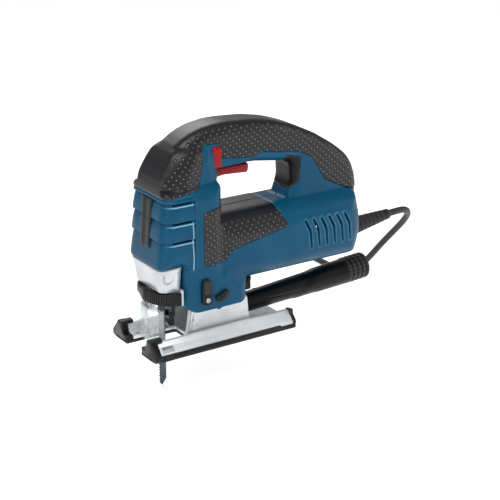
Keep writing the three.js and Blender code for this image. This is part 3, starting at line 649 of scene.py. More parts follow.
# outlines, half width, and how far the rounded edge runs in the outline's plane and across it
HOUSING_BODIES = [
    ([rounded(BARREL, 8)], HALF_WIDTH, 23, 20),
    ([rounded(COLUMN, 5)], HALF_WIDTH, 13, 12),
    ([rounded(SHOULDER, 12)], 25, 14, 12),
    ([rounded([(30, 80), *HANDLE_TOP, (-150, 80)], 60), rounded(HANDLE_HOLE, 5)], 19, 11, 9),
    ([rounded(NECK, 20)], 31, 44, 16),
]
ZONES = {
    "handle_grip": [
        (75, 150.6), (55, 150.6), (21.5, 155.7), (12.6, 192), (-6.4, 191), (-6.4, 177), (-43, 172),
        (-51, 176), (-96, 169), (-109, 162), (-117, 150), (-125, 137), (-149, 125), (-185, 117),
        (-185, 230), (75, 230)],
    "handle_liner": [(-78, 125.5), (-95, 140), (-97, 164), (-80, 168), (-76, 140)],
    "barrel_pad": [
        (21, 81), (21, 133), (-1, 137), (-1, 150), (-60, 150), (-64, 121), (-73, 104), (-11, 92), (-2, 82)],
    "nose_cover": [(30, 80), (90, 80), (90, 150.3), (30, 150.3)],
}
SHELL_LOOKS = {"handle_grip": "grip_rubber", "handle_liner": "grip_smooth", "nose_cover": "nose_plastic"}
RUBBER = {"handle_grip", "handle_liner", "barrel_pad"}
SCREW_PLACES = [(-150, 66), (-150, 112), (-126, 166)]
BATCH = 2000              # points measured at once
OUTSIDE = -1000.0         # half width of a body beside its outline
MIDDLE_GAP = 1.2          # where the rounded rows over an edge stop, before the middle plane
SEAM_DEPTH, SEAM_WIDTH = 0.75, 0.4        # groove between two pieces
SPLIT_DEPTH, SPLIT_WIDTH = 0.4, 0.35      # groove between the two halves
RIM = 4.2                 # how far the rim of a piece turns inward


def depth_in(points, loop):
    """How far points lie inside a closed loop, negative outside."""
    start, end = loop, np.roll(loop, -1, 0)
    run = end - start
    length = np.maximum((run ** 2).sum(1), 1e-12)
    rise = np.where(np.abs(run[:, 1]) < 1e-12, 1e-12, run[:, 1])
    depth = np.empty(len(points))
    for first in range(0, len(points), BATCH):
        some = points[first:first + BATCH, None]
        off = some - start
        share = np.clip((off * run).sum(2) / length, 0, 1)
        near = np.sqrt(((off - share[..., None] * run) ** 2).sum(2).min(1))
        across, height = some[..., 0], some[..., 1]
        over = (start[:, 1] > height) != (end[:, 1] > height)
        cross = start[:, 0] + (height - start[:, 1]) / rise * run[:, 0]
        odd = (over & (across < cross)).sum(1) % 2
        depth[first:first + BATCH] = np.where(odd == 1, near, -near)
    return depth


def half_width(points):
    """How far the housing's surface lies from the middle plane, over points in X and Z."""
    height = np.full(len(points), OUTSIDE)
    for loops, half, edge, fall in HOUSING_BODIES:
        depth = depth_in(points, loops[0])
        for hole in loops[1:]:
            depth = np.minimum(depth, -depth_in(points, hole))
        run = 1 - np.clip(depth / edge, 0, 1)
        own = np.where(depth > -0.4, half - fall + fall * np.sqrt(1 - run ** 2), OUTSIDE)
        near = np.maximum(BLEND - np.abs(own - height), 0)
        height = np.maximum(own, height) + near ** 2 / (4 * BLEND)
    found = np.flatnonzero(height > 0)
    for k in np.flatnonzero(height < 0):
        height[k] = height[found[((points[found] - points[k]) ** 2).sum(1).argmin()]]
    return height


def rear_vents():
    """Six curved slots, slanting down to the rear."""
    vents = []
    for k in range(6):
        x = -91.5 - 9.3 * k
        vents.append(rounded([
            (x + 0.8, 104.5, 0.8), (x - 5.2, 93, 12), (x - 7.4, 76, 0.8), (x - 9.4, 75.6, 0.8),
            (x - 7.8, 94, 12), (x - 1.2, 105.4, 0.8)], 1, 1))
    return vents


def nose_slots():
    """Dark slots under the lips of the nose's bands, on its flanks."""
    return [rectangle((33, 54), (z - 2.6, z - 0.9), 0.6, 1) for z in NOSE_STEPS]


def band_rows():
    """Straight lines over the nose where its bands step."""
    return [np.array([(31 + 1.2 * i, z + shift) for i in range(30)])
            for z in NOSE_STEPS for shift in (-0.5, 0, 0.5)]


def circle(centre, radius, count=28):
    turn = np.arange(count) * 2 * math.pi / count
    return np.stack([centre[0] + radius * np.cos(turn), centre[1] + radius * np.sin(turn)], 1)


def open_edges(faces):
    """The edges that only one triangle has."""
    edges = [(face[k], face[(k + 1) % 3]) for face in faces for k in range(3)]
    uses = Counter(frozenset(edge) for edge in edges)
    return [edge for edge in edges if uses[frozenset(edge)] == 1]


class Shell:
    """The housing's outside, triangulated over X and Z and sorted into pieces."""

    def __init__(self):
        self.silhouette, self.opening = rounded(SILHOUETTE, 60), rounded(HAND_OPENING, 5)
        self.zones = {name: rounded(points, 3) for name, points in ZONES.items()}
        self.cutouts = rear_vents() + nose_slots()
        self.screw_holes = [circle(place, 4.1) for place in SCREW_PLACES]
        self.loops = [self.silhouette, self.opening, *self.zones.values(), *self.cutouts, *self.screw_holes]
        points = np.concatenate([*self.loops, *band_rows(), *self.between()])
        points = [Vector(p) for p in points]
        flat, _, triangles, *_ = delaunay_2d_cdt(points, self.outlines(), [], 0, 1e-5)
        self.flat = np.array([tuple(p) for p in flat])
        self.triangles = np.array([t for t in triangles if len(t) == 3])
        to_outside, to_opening = depth_in(self.flat, self.silhouette), depth_in(self.flat, self.opening)
        self.on_edge = (np.abs(to_outside) < 0.02) | (np.abs(to_opening) < 0.02)
        self.height = half_width(self.flat)
        self.seam = np.min([np.abs(depth_in(self.flat, zone)) for zone in self.zones.values()], 0)
        middle = self.flat[self.triangles].mean(1)
        self.labels = self.sorted_out(middle)
        self.in_screw_hole = np.any([depth_in(middle, loop) > 0 for loop in self.screw_holes], 0)

    def outlines(self):
        """The edges that the triangles have to keep, as pairs of point numbers."""
        edges, start = [], 0
        for loop in self.loops:
            edges += [(start + i, start + (i + 1) % len(loop)) for i in range(len(loop))]
            start += len(loop)
        return edges

    def between(self):
        """Points between the outlines: rows beside them, and a grid."""
        beside = []
        edge_rows = np.array((0.3, 0.9, 1.8, 3, 4.6, 6.6))
        rows = [(self.silhouette, edge_rows), (self.opening, -edge_rows)]
        rows += [(zone, (0.8, 0.35, -0.35, -0.8)) for zone in self.zones.values()]
        for loop, steps in rows:
            loop = counter_clockwise(loop)
            beside += [loop - outward(loop) * step for step in steps]
        x, z = np.meshgrid(np.arange(-170, 68, SURFACE_STEP), np.arange(36, 210, SURFACE_STEP))
        grid = np.stack([x.ravel(), z.ravel()], 1) + np.resize([[0, 0], [SURFACE_STEP / 3, 0]], (x.size, 2))
        kept = []
        for some, room in ((np.concatenate(beside), 0.28), (grid, 0.95)):
            some = some[(depth_in(some, self.silhouette) > room) & (depth_in(some, self.opening) < -room)]
            away = np.min([np.abs(depth_in(some, loop)) for loop in self.loops], 0)
            kept.append(some[away > room])
        return kept

    def sorted_out(self, middle):
        """The piece each triangle belongs to by its middle, or "" outside the housing."""
        labels = np.full(len(middle), "housing", dtype=object)
        for name in ("nose_cover", "barrel_pad", "handle_liner", "handle_grip"):
            labels[depth_in(middle, self.zones[name]) > 0] = name
        for loop in self.cutouts:
            labels[depth_in(middle, loop) > 0] = ""
        labels[(depth_in(middle, self.silhouette) < 0) | (depth_in(middle, self.opening) > 0)] = ""
        return labels

    def flank(self, name, side):
        """The numbers of the points that a piece uses, and its triangles, turned outward."""
        chosen = self.labels == name
        if side < 0:
            chosen &= ~self.in_screw_hole
        triangles = self.triangles[chosen]
        corners = self.flat[triangles]
        turn = np.cross(corners[:, 1] - corners[:, 0], corners[:, 2] - corners[:, 0])
        wrong = turn * side > 0
        triangles[wrong] = triangles[wrong][:, ::-1]
        used, local = np.unique(triangles, return_inverse=True)
        return used, [list(face) for face in local.reshape(-1, 3)]

    def half(self, name, side, split):
        """One side of a piece as (points, faces): its flank, its edge across to the middle, and its rims."""
        used, faces = self.flank(name, side)
        flat, on_edge, seams = self.flat[used], self.on_edge[used], self.seam[used]
        points = np.stack([flat[:, 0], side * self.height[used], flat[:, 1]], 1)
        border = open_edges(faces)
        seat = (flat[:, 1] < HEAD_TOP + 0.3) & ((flat[:, 0] > 38.9) | (flat[:, 1] < 37.9))
        across = [(i, j) for i, j in border if on_edge[i] and on_edge[j] and not (seat[i] and seat[j])]
        bridging = set(across)
        rims = [edge for edge in border if edge not in bridging]
        to_middle = [0.8, 0.45, 0.15] if split else [0]
        points, seams = bridged(points, faces, seams, across, side, to_middle)
        lift = -SEAM_DEPTH * np.exp(-(seams / SEAM_WIDTH) ** 2)
        if name in RUBBER:
            lift += RUBBER_PROUD
        if split:
            lift -= SPLIT_DEPTH * np.exp(-(points[:, 1] / SPLIT_WIDTH) ** 2)
        if name == "nose_cover":
            lift += nose_bands(points[:, 2])
        points = rimmed(points + point_normals(points, faces) * lift[:, None], faces, rims, side)
        if name == "housing":
            near_axis = points[:, 1] ** 2 + points[:, 2] ** 2 < ARCH_CLEAR ** 2
            near_axis &= np.abs(points[:, 1]) < ARCH_CLEAR - 1
            points[near_axis, 2] = np.sqrt(ARCH_CLEAR ** 2 - points[near_axis, 1] ** 2)
        return points, faces


def bridged(points, faces, seams, across, side, to_middle):
    """Adds rows of faces from the flank's edges across to the middle plane."""
    rows = {}
    points, seams = list(points), list(seams)
    for vertex in sorted({v for edge in across for v in edge}):
        x, y0, z = points[vertex]
        rows[vertex] = [vertex]
        for y in [share * (abs(y0) - MIDDLE_GAP) + MIDDLE_GAP for share in (0.8, 0.6, 0.4, 0.2)] + to_middle:
            rows[vertex].append(len(points))
            points.append(np.array([x, side * y, z]))
            seams.append(seams[vertex])
    for i, j in across:
        for k in range(len(rows[i]) - 1):
            faces.append([rows[j][k], rows[i][k], rows[i][k + 1], rows[j][k + 1]])
    return np.array(points), np.array(seams)


def rimmed(points, faces, rims, side):
    """Adds a rim that turns inward from a piece's open edges."""
    inner = {}
    points = list(points)
    for i, j in rims:
        for vertex in (i, j):
            if vertex not in inner:
                inner[vertex] = len(points)
                points.append(points[vertex] - np.array([0, side * RIM, 0]))
        faces.append([j, i, inner[i], inner[j]])
    return np.array(points)


def nose_bands(z):
    """The nose's bands lean in towards their tops, under the lip of the band above."""
    lean = np.zeros(len(z))
    for bottom, top in zip((HEAD_TOP, *NOSE_STEPS), (*NOSE_STEPS, NOSE_TOP)):
        inside = (z > bottom - 0.01) & (z <= top - 0.4)
        lean[inside] = -2.2 * np.clip((z[inside] - bottom) / (top - bottom), 0, 1) ** 2.2
    return lean


def point_normals(points, faces):
    normals = np.zeros_like(points)
    for face in faces:
        a, b, c = points[face[0]], points[face[1]], points[face[2]]
        (px, py, pz), (qx, qy, qz) = b - a, c - a
        normal = np.array([py * qz - pz * qy, pz * qx - px * qz, px * qy - py * qx])
        if len(face) == 4:
            normal = normal * 2
        for vertex in face:
            normals[vertex] += normal
    return normals / np.maximum(np.linalg.norm(normals, axis=1), 1e-9)[:, None]


def welded(shape):
    """The shape with points at the same place made one."""
    points, faces = shape
    _, first, same = np.unique(np.round(points, 3), axis=0, return_index=True, return_inverse=True)
    same = same.ravel()
    return points[first], [[int(same[i]) for i in face] for face in faces if len({same[i] for i in face}) > 2]


def make_housing():
    shell = Shell()
    for side, word in ((1, "left"), (-1, "right")):
        blue, pad = [welded(shell.half(name, side, True)) for name in ("housing", "barrel_pad")]
        shape_piece(f"shell_{word}", blue, [f"housing_{word}"], "blue_plastic")
        shape_piece(f"barrel_pad_skin_{word}", pad, [f"barrel_pad_{word}"], "grip_rubber")
    for name, look in SHELL_LOOKS.items():
        whole = merged(shell.half(name, 1, False), shell.half(name, -1, False))
        shape_piece(f"{name}_skin", welded(whole), [name], look)
    make_front_strip(shell.silhouette)


def make_front_strip(silhouette):
    """The dark rubber strip down the middle of the nose."""
    low, high = box("front_strip")
    front = np.array([p for p in silhouette if low[2] - 2 < p[1] < high[2] + 2 and p[0] > 50])
    front = front[front[:, 1].argsort()]
    heights = [low[2], low[2] + 0.4, *np.linspace(low[2] + 1, high[2] - 1, 24), high[2] - 0.4, high[2]]
    widths = np.array([-9, -8.7, -8, -5, -2, -1, 1, 2, 5, 8, 8.7, 9])
    points = []
    for k, z in enumerate(heights):
        x = np.interp(z, front[:, 1], front[:, 0])
        taper = 1 - 0.12 * (high[2] - z) / (high[2] - low[2])
        for i, y in enumerate(widths):
            rim = min(k, len(heights) - 1 - k, i, len(widths) - 1 - i)
            lift = (-2.2, 0.3, 0.6)[min(rim, 2)] - (0.5 if 3 < i < 8 else 0)
            points.append((x + lift, y * taper, z))
    across = len(widths)
    faces = [[k * across + i, k * across + i + 1, (k + 1) * across + i + 1, (k + 1) * across + i]
             for k in range(len(heights) - 1) for i in range(across - 1)]
    shape_piece("front_strip_skin", (np.array(points), faces), ["front_strip"], "grip_smooth")


# ---- gearbox head, release lever, blade and clamp ----

def levelled(levels, count=120):
    """A loft of rounded rectangles: (height, x from, x to, half width, corner radius) along Z."""
    loops = []
    for z, x_from, x_to, half, radius in levels:
        outline = rectangle((x_from, x_to), (-half, half), radius)
        loops.append(placed(resampled(outline, count), z, "z"))
    return lofted(loops)


PLUNGER_X = 49
LEVER_PIVOT = (56.5, -20.5, 0)


def make_head():
    """The cast head: a crown under the nose, flanks down to the lever, and a screw on each side."""
    rear = 39.6
    crown = levelled([
        (59.7, rear, 60.8, 24.4, 8), (59.9, rear, 61.9, 25.4, 9), (61, rear, 62.6, 26, 9),
        (66, rear, 63.2, 26.6, 9), (74, rear, 64, 27.7, 9), (79, rear, 64.8, 28.4, 9),
        (80, rear, 65.3, 29, 9), (82.8, rear, 65.5, 29.2, 9), (83.8, rear, 64.8, 28.5, 9),
    ])
    head = shape_piece("gearbox_head", crown, ["gearbox_housing"], "cast_aluminium")
    carve(head, lathe([(0, 50), (8.8, 50), (8.8, 90), (0, 90)], "z", (PLUNGER_X, 0, 0), 48))

    cheek = pressed(rectangle((rear, 43.3), (8, 27.6), 1.2), soft(44.9, 60.5, 0.8), "z")
    turn = np.radians(np.linspace(40, 112, 19))
    wall_out = [(47 + 15.3 * math.cos(t), 15.3 * math.sin(t)) for t in turn]
    wall_in = [(PLUNGER_X + 12.6 * math.cos(t), 12.6 * math.sin(t)) for t in turn[::-1]]
    wall = pressed(np.array(wall_out + wall_in), soft(45.2, 60.5, 0.6), "z")
    screw_low, screw_high = box("gearbox_screw_left")
    centre = ((screw_low[0] + screw_high[0]) / 2, 0, (screw_low[2] + screw_high[2]) / 2)
    eye = lathe([(5.4, 26.2), (5.3, 27.7), (4.9, 28.2), (4.4, 28), (4.2, 27.4), (4.1, 24.8), (0, 24.8)],
                "y", centre, 48)
    boss = lathe([(2.1, 44.8), (2.1, 59.6)], "z", LEVER_PIVOT, 32)
    sides = merged(cheek, wall, eye)
    shape_piece("gearbox_flanks", merged(sides, mirrored(sides), boss), ["gearbox_housing"], "cast_aluminium")

    # A dark disc behind each screw: painted shade in the screw's recess.
    shade = lathe([(4.15, 24.9), (4.15, 25.7), (3.7, 25.9), (0, 25.9)], "y", centre, 36)
    shape_piece("head_recesses", merged(shade, mirrored(shade)), ["gearbox_housing"], "recess")
    screw = lathe([(3, 25.2), (3, 26.5), (2.7, 26.9), (1.6, 26.9), (1.5, 26), (0, 26)], "y", centre, 36)
    shape_piece("head_screw_left", screw, ["gearbox_screw_left"], "steel")
    shape_piece("head_screw_right", mirrored(screw), ["gearbox_screw_right"], "steel")


def make_release_lever():
    """A ribbed strap round the front of the head, thinner at its pivot on the right."""
    low, high = box("blade_release_lever")
    outline = counter_clockwise(rounded([
        (53, -24.5, 2), (60, -24.5, 4), (66.5, -14), (68, 0), (66, 13), (60, 24), (53, 29.5), (43.9, 31.4, 1),
        (43.9, 27, 1), (50, 25.5), (56.5, 20.5), (61.5, 12), (63.5, 0), (60, -14), (55, -18),
        (52.5, -20, 1)], 14, 0.35))
    out = outward(outline)
    along = np.cumsum(np.linalg.norm(np.roll(outline, -1, 0) - outline, axis=1))
    outside = ((outline - (52, 2)) * out).sum(1) > 8
    ribbed = outside & (outline[:, 1] > 3) & (outline[:, 1] < 27)
    outline = outline - out * (ribbed * 0.75 * (np.sin(2 * math.pi * along / 2.5) > 0.1))[:, None]
    points, faces = pressed(outline, soft(low[2], high[2], 0.7), "z")
    thin = 1 - 0.5 * np.clip((-points[:, 1] - 2) / 8, 0, 1)
    points[:, 2] = 54.5 + (points[:, 2] - 53) * thin - 1.5 * (thin - 0.5) * 2
    eye = lathe([(4.1, 48.5), (4.2, 49), (4.2, 57.5), (3.8, 58), (2.2, 58)], "z", LEVER_PIVOT, 40)
    shape_piece("release_lever", merged((points, faces), eye), ["blade_release_lever"], "black_plastic")


def make_blade():
    """The saw blade with its teeth forward, set to the left and right in turn."""
    low, high = box("saw_blade")
    back, front, pitch = low[0], high[0], 3
    outline = [(back, high[2]), (back, low[2] + 6), (back + 4.6, low[2])]
    for k in range(25):
        z = low[2] + 1.6 + pitch * k
        outline += [(front - 1.1, z), (front - 0.9, z + 0.9), (front, z + 2.7)]
    outline += [(front - 0.4, low[2] + 80), (front - 0.4, high[2])]
    points, faces = pressed(np.array(outline), [(-0.5, 0.12), (-0.42, 0), (0.42, 0), (0.5, 0.12)], "y")
    tip = points[:, 0] > front - 0.3
    tooth = np.floor((points[:, 2] - low[2]) / pitch)
    points[tip, 1] += np.where(tooth[tip] % 2 == 0, 0.25, -0.25)
    shape_piece("blade", (points, faces), ["saw_blade"], "dark_steel", 20)


def make_clamp():
    """The knurled collar that holds the blade."""
    low, high = box("blade_clamp")
    foot, top = low[2], high[2]

    def knurl(turn, height):
        return -0.35 * (np.sin(26 * turn) > 0.2) if foot + 3 < height < top - 2 else 0

    profile = [(5.6, foot), (6.3, foot + 0.5), (6.4, foot + 1.6), (7.2, foot + 1.9), (7.5, foot + 2.6),
               (7.5, foot + 3.2), (7.5, top - 2.2), (7.5, top - 0.7), (6.9, top), (4.6, top)]
    collar = lathe(profile, "z", ((low[0] + high[0]) / 2, 0, 0), 156, knurl)
    shape_piece("clamp_collar", collar, ["blade_clamp"], "dark_steel", 25)


# ---- controls ----

def make_orbital_lever():
    x, z = 20.4, 49.5
    y = box("orbital_lever")[0][1] + 10.7
    body = pressed(rectangle((x - 5, x + 5), (z - 5.6, z + 20), 4.6, 0.8), soft(y, y + 3.6, 0.9), "y")
    thumb = pressed(rectangle((x - 3.9, x + 3.9), (z + 5.5, z + 18.8), 3, 0.8),
                    [(y + 2.5, 0), (y + 4.4, 0.4), (y + 5, 1.2)], "y")
    shape_piece("orbital_handle", merged(body, thumb), ["orbital_lever"], "black_plastic")
    profile = [(2.5, y + 2.8), (2.5, y + 4.4), (2.2, y + 4.8), (0.9, y + 4.8), (0.8, y + 4.2), (0, y + 4.2)]
    shape_piece("orbital_pivot", lathe(profile, "y", (x, 0, z), 40), ["orbital_lever"], "steel")


def make_blower_switch():
    low, high = box("blower_switch")
    x, z = 6.3, 48.5
    slider = pressed(rounded([(x - 11, z - 3), (x + 3.8, z - 3.4), (x + 3.8, z + 3.4), (x - 11, z + 3)],
                             2.8, 0.8), soft(low[1], high[1], 0.8), "y")
    nub = pressed(rectangle((x - 10, x - 5), (z - 2, z + 2), 1.2, 0.8),
                  [(high[1] - 0.6, 0), (high[1] + 0.8, 0.2), (high[1] + 1.2, 0.7)], "y")
    whole = tilted(merged(slider, nub), 25, (x, 0, z))
    shape_piece("blower_slider", whole, ["blower_switch"], "black_plastic")


def make_trigger():
    """The trigger, a narrow stem over a wide foot, and the lock-on button across the handle."""
    low, high = box("trigger")
    knee = [(high[0], low[2], 1), (-4.2, 155, 3)]
    stem = rounded([
        *knee, (-7.5, 157.8, 6), (-14, 158.8, 8), (-40.6, 157.4, 2), (low[0], 162, 1),
        (low[0], high[2] - 5, 1), (high[0], high[2], 1)], 2, 0.8)
    foot = rounded([
        *knee, (-7.5, 157.2, 6), (-14, 158, 8), (-40.4, 156.4, 2), (-41.4, 161, 1.5), (-41.2, 165, 1),
        (high[0], 165.3, 1)], 2, 0.8)
    whole = merged(pressed(stem, soft(-8, 8, 0.8), "y"), pressed(foot, soft(low[1], high[1], 1), "y"))
    shape_piece("trigger_key", whole, ["trigger"], "red_plastic")
    low, high = box("lock_button")
    side = rectangle((low[0], high[0]), (low[2], high[2]), 4.4, 0.8)
    shape_piece("lock_key", pressed(side, soft(low[1], high[1], 2.6, 5), "y"), ["lock_button"], "red_plastic")


def make_speed_dial():
    def teeth(turn, height):
        return -0.7 * (np.sin(34 * turn) > 0.3) if abs(height) < 3.9 else 0

    half_profile = [(3, -7.5), (3, -4.4), (11.8, -4.4), (12.7, -3.8), (13, -3.3)]
    profile = half_profile + [(radius, -height) for radius, height in half_profile[::-1]]
    wheel = lathe(profile, "y", sum(box("speed_wheel")) / 2, 204, teeth)
    shape_piece("speed_dial", wheel, ["speed_wheel"], "black_plastic", 25)


# ---- base: plate, shoe, cradle, guard and dust pipe ----

CHEEK_LEAN = 0.36         # how far the cradle's cheeks lean outward per millimetre of height
RAIL = [(14, 3.3), (38.6, 3.3), (38.6, 6.1), (29.6, 15), (26, 15), (23.4, 6.3), (14, 6.3)]


def make_sole():
    """The sole plate: two rails joined by a web."""
    low, high = box("base_plate")
    beam = pressed(rounded(RAIL, 0.5, 6), soft(low[0], high[0], 0.5, 2), "x")
    plate = shape_piece("sole_plate", merged(beam, mirrored(beam)), ["base_plate"], "bright_aluminium", 28)
    slot = rounded_box((56, 68), (27.6, 48), (7, 11.4), 0.4, 0.1)
    hole = lathe([(1.9, 0), (1.9, 20)], "z", (64.5, 19, 0), 28)
    carve(plate, slot, mirrored(slot), hole, mirrored(hole))
    middle = rounded_box((low[0] + 0.2, 27.5), (-15, 15), (3.3, 6.27), 1, 0.3)
    web = shape_piece("sole_web", middle, ["base_plate"], "bright_aluminium")
    carve(web, rounded_box((26, 40), (-14, 14), (0, 9), 3, 0.1))


def make_shoe():
    """The black shoe under the sole, with a lip along each rail and a cap over each end."""
    low, high = box("sliding_shoe")
    plan = rounded([
        (low[0], -41, 2), (73, -41, 3), (high[0], -37, 2), (high[0], -14, 1), (26, -14, 2), (26, 14, 2),
        (high[0], 14, 1), (high[0], 37, 2), (73, 41, 3), (low[0], 41, 2)], 1, 4)
    sole = pressed(plan, soft(0, 3, 0.5, 2), "z")
    lip = pressed(rectangle((38.9, 41), (2, 5.6), 0.6, 4), soft(-61, 74, 1.2, 2), "x")
    cap_side = rounded([
        (14.3, 0.2), (40.5, 0.2, 1.5), (42.4, 2.4, 1.5), (42.4, 6.6, 1.2), (33.4, 16.4, 1.5), (32.4, 18.8, 1),
        (24.6, 18.8, 1), (23.4, 15.5, 1), (21.6, 8.6, 1.5), (14.3, 8.2, 0.8)], 1, 3)
    cap = pressed(cap_side, soft(71.8, high[0], 1.2), "x")
    peg = pressed(rounded([(24.4, 15.2), (31.6, 15.2), (31, 19), (25, 19)], 0.8, 3), soft(65.5, 73, 0.8), "x")
    step = pressed(rectangle((39, 42.2), (0.4, 5.8), 0.8, 3), soft(60, 73, 0.8), "x")
    rear_side = rounded([(22.6, 5.8), (39.4, 2.6), (39.4, 6.6), (30.6, 15.6), (25.2, 15.6)], 0.8, 3)
    rear = pressed(rear_side, soft(low[0] - 0.9, low[0] + 2.6, 0.7), "x")
    catch = rounded_box((low[0] - 1, low[0] + 3), (29, 34), (9.5, 16.5), 1, 0.6)
    side = merged(lip, cap, peg, step, rear, catch)
    shape_piece("shoe", merged(sole, side, mirrored(side)), ["sliding_shoe"], "black_plastic")


def make_cradle():
    """The bevel segment: an arch round the tilt axis that leans back at its rear, with flanges and ribs."""
    low, high = box("base_cradle")
    foot, radius, lean = low[2], high[2], 0.31
    outer = [(radius * math.cos(t), radius * math.sin(t)) for t in np.radians(np.linspace(52, 128, 33))]
    inner = [(46.2 * math.cos(t), 46.2 * math.sin(t)) for t in np.radians(np.linspace(122, 58, 25))]
    section = [(15.5, foot), (22.8, foot), (24, 20), *outer, (-24, 20), (-22.8, foot), (-15.5, foot),
               (-20, 20), *inner, (20, 20)]
    points, faces = pressed(np.array(section), soft(low[0], high[0], 0.9), "x")
    rear = points[:, 0] < -20
    points[rear, 0] += (points[rear, 2] - foot) * lean
    wall = rounded([(-19.5, 9), (19.5, 9), (21, 20), (25, 38), (0, 46), (-25, 38), (-21, 20)], 2)
    wall = pressed(wall, soft(-31, -28.5, 0.4), "x")
    flange = pressed(rounded([(14.6, 6.2), (23.6, 6.2), (23.2, 8.6), (15.2, 8)], 0.8),
                     soft(-35, 33, 0.5), "x")
    rib = pressed(np.array([(22.4, 6.4), (23.8, 6.4), (24.8, 20.2), (32, 39.6), (30, 39.6)]),
                  soft(31.4, high[0], 0.5), "x")
    side = merged(flange, rib)
    whole = merged((points, faces), wall, side, mirrored(side))
    shape_piece("cradle", whole, ["base_cradle"], "bright_aluminium", 26)
    mark, faces = lathe([(3.6, -1), (3.6, 0.1), (3.3, 0.35), (0, 0.35)], "y", (2.6, 0, 37), 36)
    mark[:, 1] += 31.1 - (39.87 - mark[:, 2]) * CHEEK_LEAN
    shape_piece("tilt_mark", merged((mark, faces), mirrored((mark, faces))), ["base_cradle"], "recess")


def make_tilt_lever():
    rear = box("bevel_clamp_lever")[0][0]
    hub = lathe([(1.9, -26), (1.9, -31.2), (4.2, -31.5), (4.6, -32.4), (4.6, -43), (4, -44.5)], "x",
                (0, 0, 38), 48)
    arm = rounded([(-3.4, 33.6), (3.4, 33.6), (3.2, 42), (4.4, 46), (2.8, 48), (-2.8, 48), (-4.4, 46),
                   (-3.2, 42)], 1.4, 1)
    arm = pressed(arm, soft(rear, rear + 6, 1.4), "x")
    shape_piece("tilt_lever", merged(hub, arm), ["bevel_clamp_lever"], "black_plastic")


def make_guard():
    """The clear hood in front of the blade, with feet, a front rib and a round pane on the left."""
    low, high = box("chip_guard")
    rear, front = low[0], high[0]
    plan = rounded([
        (rear, -16, 0.6), (62.5, -16, 4), (front, -12.5, 4), (front, 12.5, 4), (62.5, 16, 4), (rear, 16, 0.6),
        (rear, 14.3, 0.4), (61.6, 14.3, 3), (64.2, 11.6, 3), (64.2, -11.6, 3), (61.6, -14.3, 3),
        (rear, -14.3, 0.4)], 2, 1.2)
    walls = pressed(plan, soft(low[2], high[2] - 1.5, 0.5, 2), "z")
    lid = rounded([(rear + 3, -15.4), (62, -15.4), (65.4, -12), (65.4, 12), (62, 15.4), (rear + 3, 15.4)],
                  3, 2)
    lid = pressed(lid, soft(high[2] - 1.8, high[2], 0.6, 2), "z")
    rib = rounded_box((front - 1.2, front + 0.5), (-1, 1), (low[2] + 2, high[2] - 3), 0.4, 0.3)
    foot = rounded_box((rear, 63), (13.8, 20.5), (low[2], low[2] + 2), 1, 0.4)
    pane, faces = lathe([(6.2, -2), (6.4, 0.5), (6.4, 1.6), (5.8, 2.2), (3.6, 2.2), (3.3, 1.2), (0, 1.2)],
                        "y", (28, 0, 22), 48)
    pane[:, 1] += 24.9 + (pane[:, 2] - 22) * CHEEK_LEAN
    whole = merged(walls, lid, rib, foot, mirrored(foot), (pane, faces))
    shape_piece("guard", whole, ["chip_guard"], "clear_plastic")


PIPE_START, PIPE_TILT = (-42, 0, 19.8), 3.6


def on_pipe(shape):
    return moved(tilted(shape, PIPE_TILT, (0, 0, 0)), PIPE_START)


def make_pipe():
    """The dust pipe: it widens to the rear, with a swell, a flat step below and a groove on each side."""
    stations = [(9, 14), (9.7, 13.6), (9.8, 0)]
    stations += [(9.9 + 1.5 * i / 22, -3 - 4.6 * i) for i in range(23)]
    stations += [(11.5, -108), (11.6, -121), (11.8, -123)]
    points, faces = lathe(stations, "x", (0, 0, 0), 96)
    back = np.clip((-66 - points[:, 0] - 1.4 * points[:, 2]) / 7, 0, 1)
    swell = 1 + 0.09 * back * back * (3 - 2 * back)
    step = np.clip((-84 - points[:, 0]) / 1.6, 0, 1) * np.clip(-points[:, 2] / 9, 0, 1)
    points[:, 1:] *= (swell + 0.05 * step)[:, None]
    groove = np.exp(-((points[:, 2] + 1.5 - (points[:, 0] + 60) * 0.08) / 0.9) ** 2) * (points[:, 0] > -62)
    points[:, 1] *= 1 - 0.07 * groove
    shape_piece("dust_tube", on_pipe((points, faces)), ["dust_pipe"], "black_plastic", 40)


def make_coupling():
    """The ribbed, fluted sleeve at the end of the dust pipe."""
    profile = [(11.6, -120.5), (12.4, -120.8), (12.9, -121.6)]
    for k in range(4):
        start = -122 - 5.6 * k
        profile += [(13.1, start), (13.3, start - 0.7), (13.3, start - 3), (13, start - 3.5),
                    (12, start - 3.8), (11.9, start - 4.7), (12.4, start - 5.1)]
    profile += [(13.2, -144.6), (13.3, -146), (13, -147), (12.2, -147.2), (11.9, -146.6), (11.4, -130),
                (0, -129)]

    def flutes(turn, height):
        return 0.2 * np.sin(20 * turn) if -145 < height < -121 else 0

    sleeve = on_pipe(lathe(profile, "x", (0, 0, 0), 140, flutes))
    shape_piece("coupling", sleeve, ["dust_coupling"], "cord_rubber")


# ---- cord boot and housing screws ----

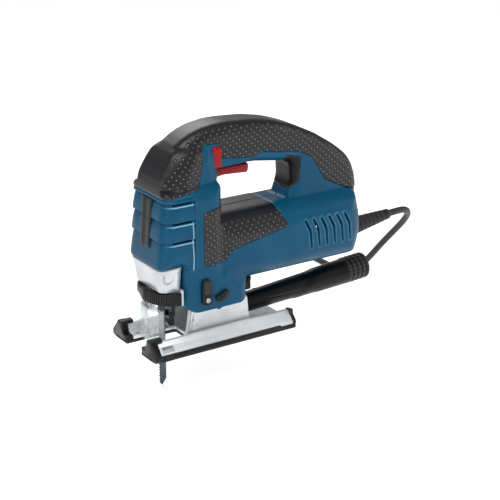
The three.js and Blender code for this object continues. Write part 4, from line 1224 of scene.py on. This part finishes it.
def make_boot():
    """The ribbed strain relief, tapering to the cord."""
    profile = [(0, 1), (9.4, 0.6), (9.5, -13), (10.6, -13.4), (10.9, -14.2), (10.9, -19.4), (10.4, -20.4),
               (9.2, -21)]
    for k in range(7):
        start, radius = -23 - 5.6 * k, 9 - 0.47 * k
        profile += [(radius, start), (radius - 0.1, start - 3.6), (radius - 0.75, start - 4.1),
                    (radius - 0.8, start - 4.9)]
    profile += [(5.6, -63.5), (5.4, -67.5), (5, -68.8), (3.7, -69)]
    boot = moved(tilted(lathe(profile, "x", (0, 0, 0), 64), 6, (0, 0, 0)), (-152, 0, 71.5))
    shape_piece("boot", boot, ["cord_boot"], "cord_rubber", 40)


def make_screws():
    for k, (x, z) in enumerate(SCREW_PLACES, 1):
        top = -box(f"housing_screw_{k}")[0][1]
        profile = [(3.4, top - 2.6), (3.6, top - 2.2), (3.6, top - 0.5), (3.2, top), (1.9, top),
                   (1.7, top - 1.6), (0, top - 1.6)]
        screw = mirrored(lathe(profile, "y", (x, 0, z), 36))
        shape_piece(f"case_screw_{k}", screw, [f"housing_screw_{k}"], "steel")


# ---- inner pieces keep their CAD shape and take their own finish ----

INNER_LOOKS = {
    "steel": [
        "gear_axle", "rotor_shaft", "bearing_front", "bearing_rear", "crank_gear", "plunger_rod",
        "guide_roller"],
    "dark_steel": ["plunger_yoke", "roller_fork"],
    "bronze": ["lower_bushing", "upper_bushing", "brush_holder_left", "brush_holder_right"],
    "copper": ["field_coil_upper", "field_coil_lower", "winding_front", "winding_rear", "commutator"],
    "lamination": ["stator_core", "armature_core"],
    "carbon": ["carbon_brush_left", "carbon_brush_right"],
    "black_plastic": ["cooling_fan", "switch_module", "electronics_module", "cord_clamp"],
}


def finish_inner_pieces():
    for look, nodes in INNER_LOOKS.items():
        for node in nodes:
            thing = frame["nodes"][node]
            thing.data.materials.clear()
            thing.data.materials.append(LOOKS[look].material)
            thing.data.set_sharp_from_angle(angle=math.radians(30))
            edge = thing.modifiers.new("edge", "BEVEL")
            edge.width, edge.segments = 0.0002, 2
            edge.limit_method, edge.angle_limit = "ANGLE", math.radians(40)


make_camera()
make_studio()
make_floor()
make_cord()
make_housing()
make_head()
make_release_lever()
make_blade()
make_clamp()
make_orbital_lever()
make_blower_switch()
make_trigger()
make_speed_dial()
make_sole()
make_shoe()
make_cradle()
make_tilt_lever()
make_guard()
make_pipe()
make_coupling()
make_boot()
make_screws()
finish_inner_pieces()
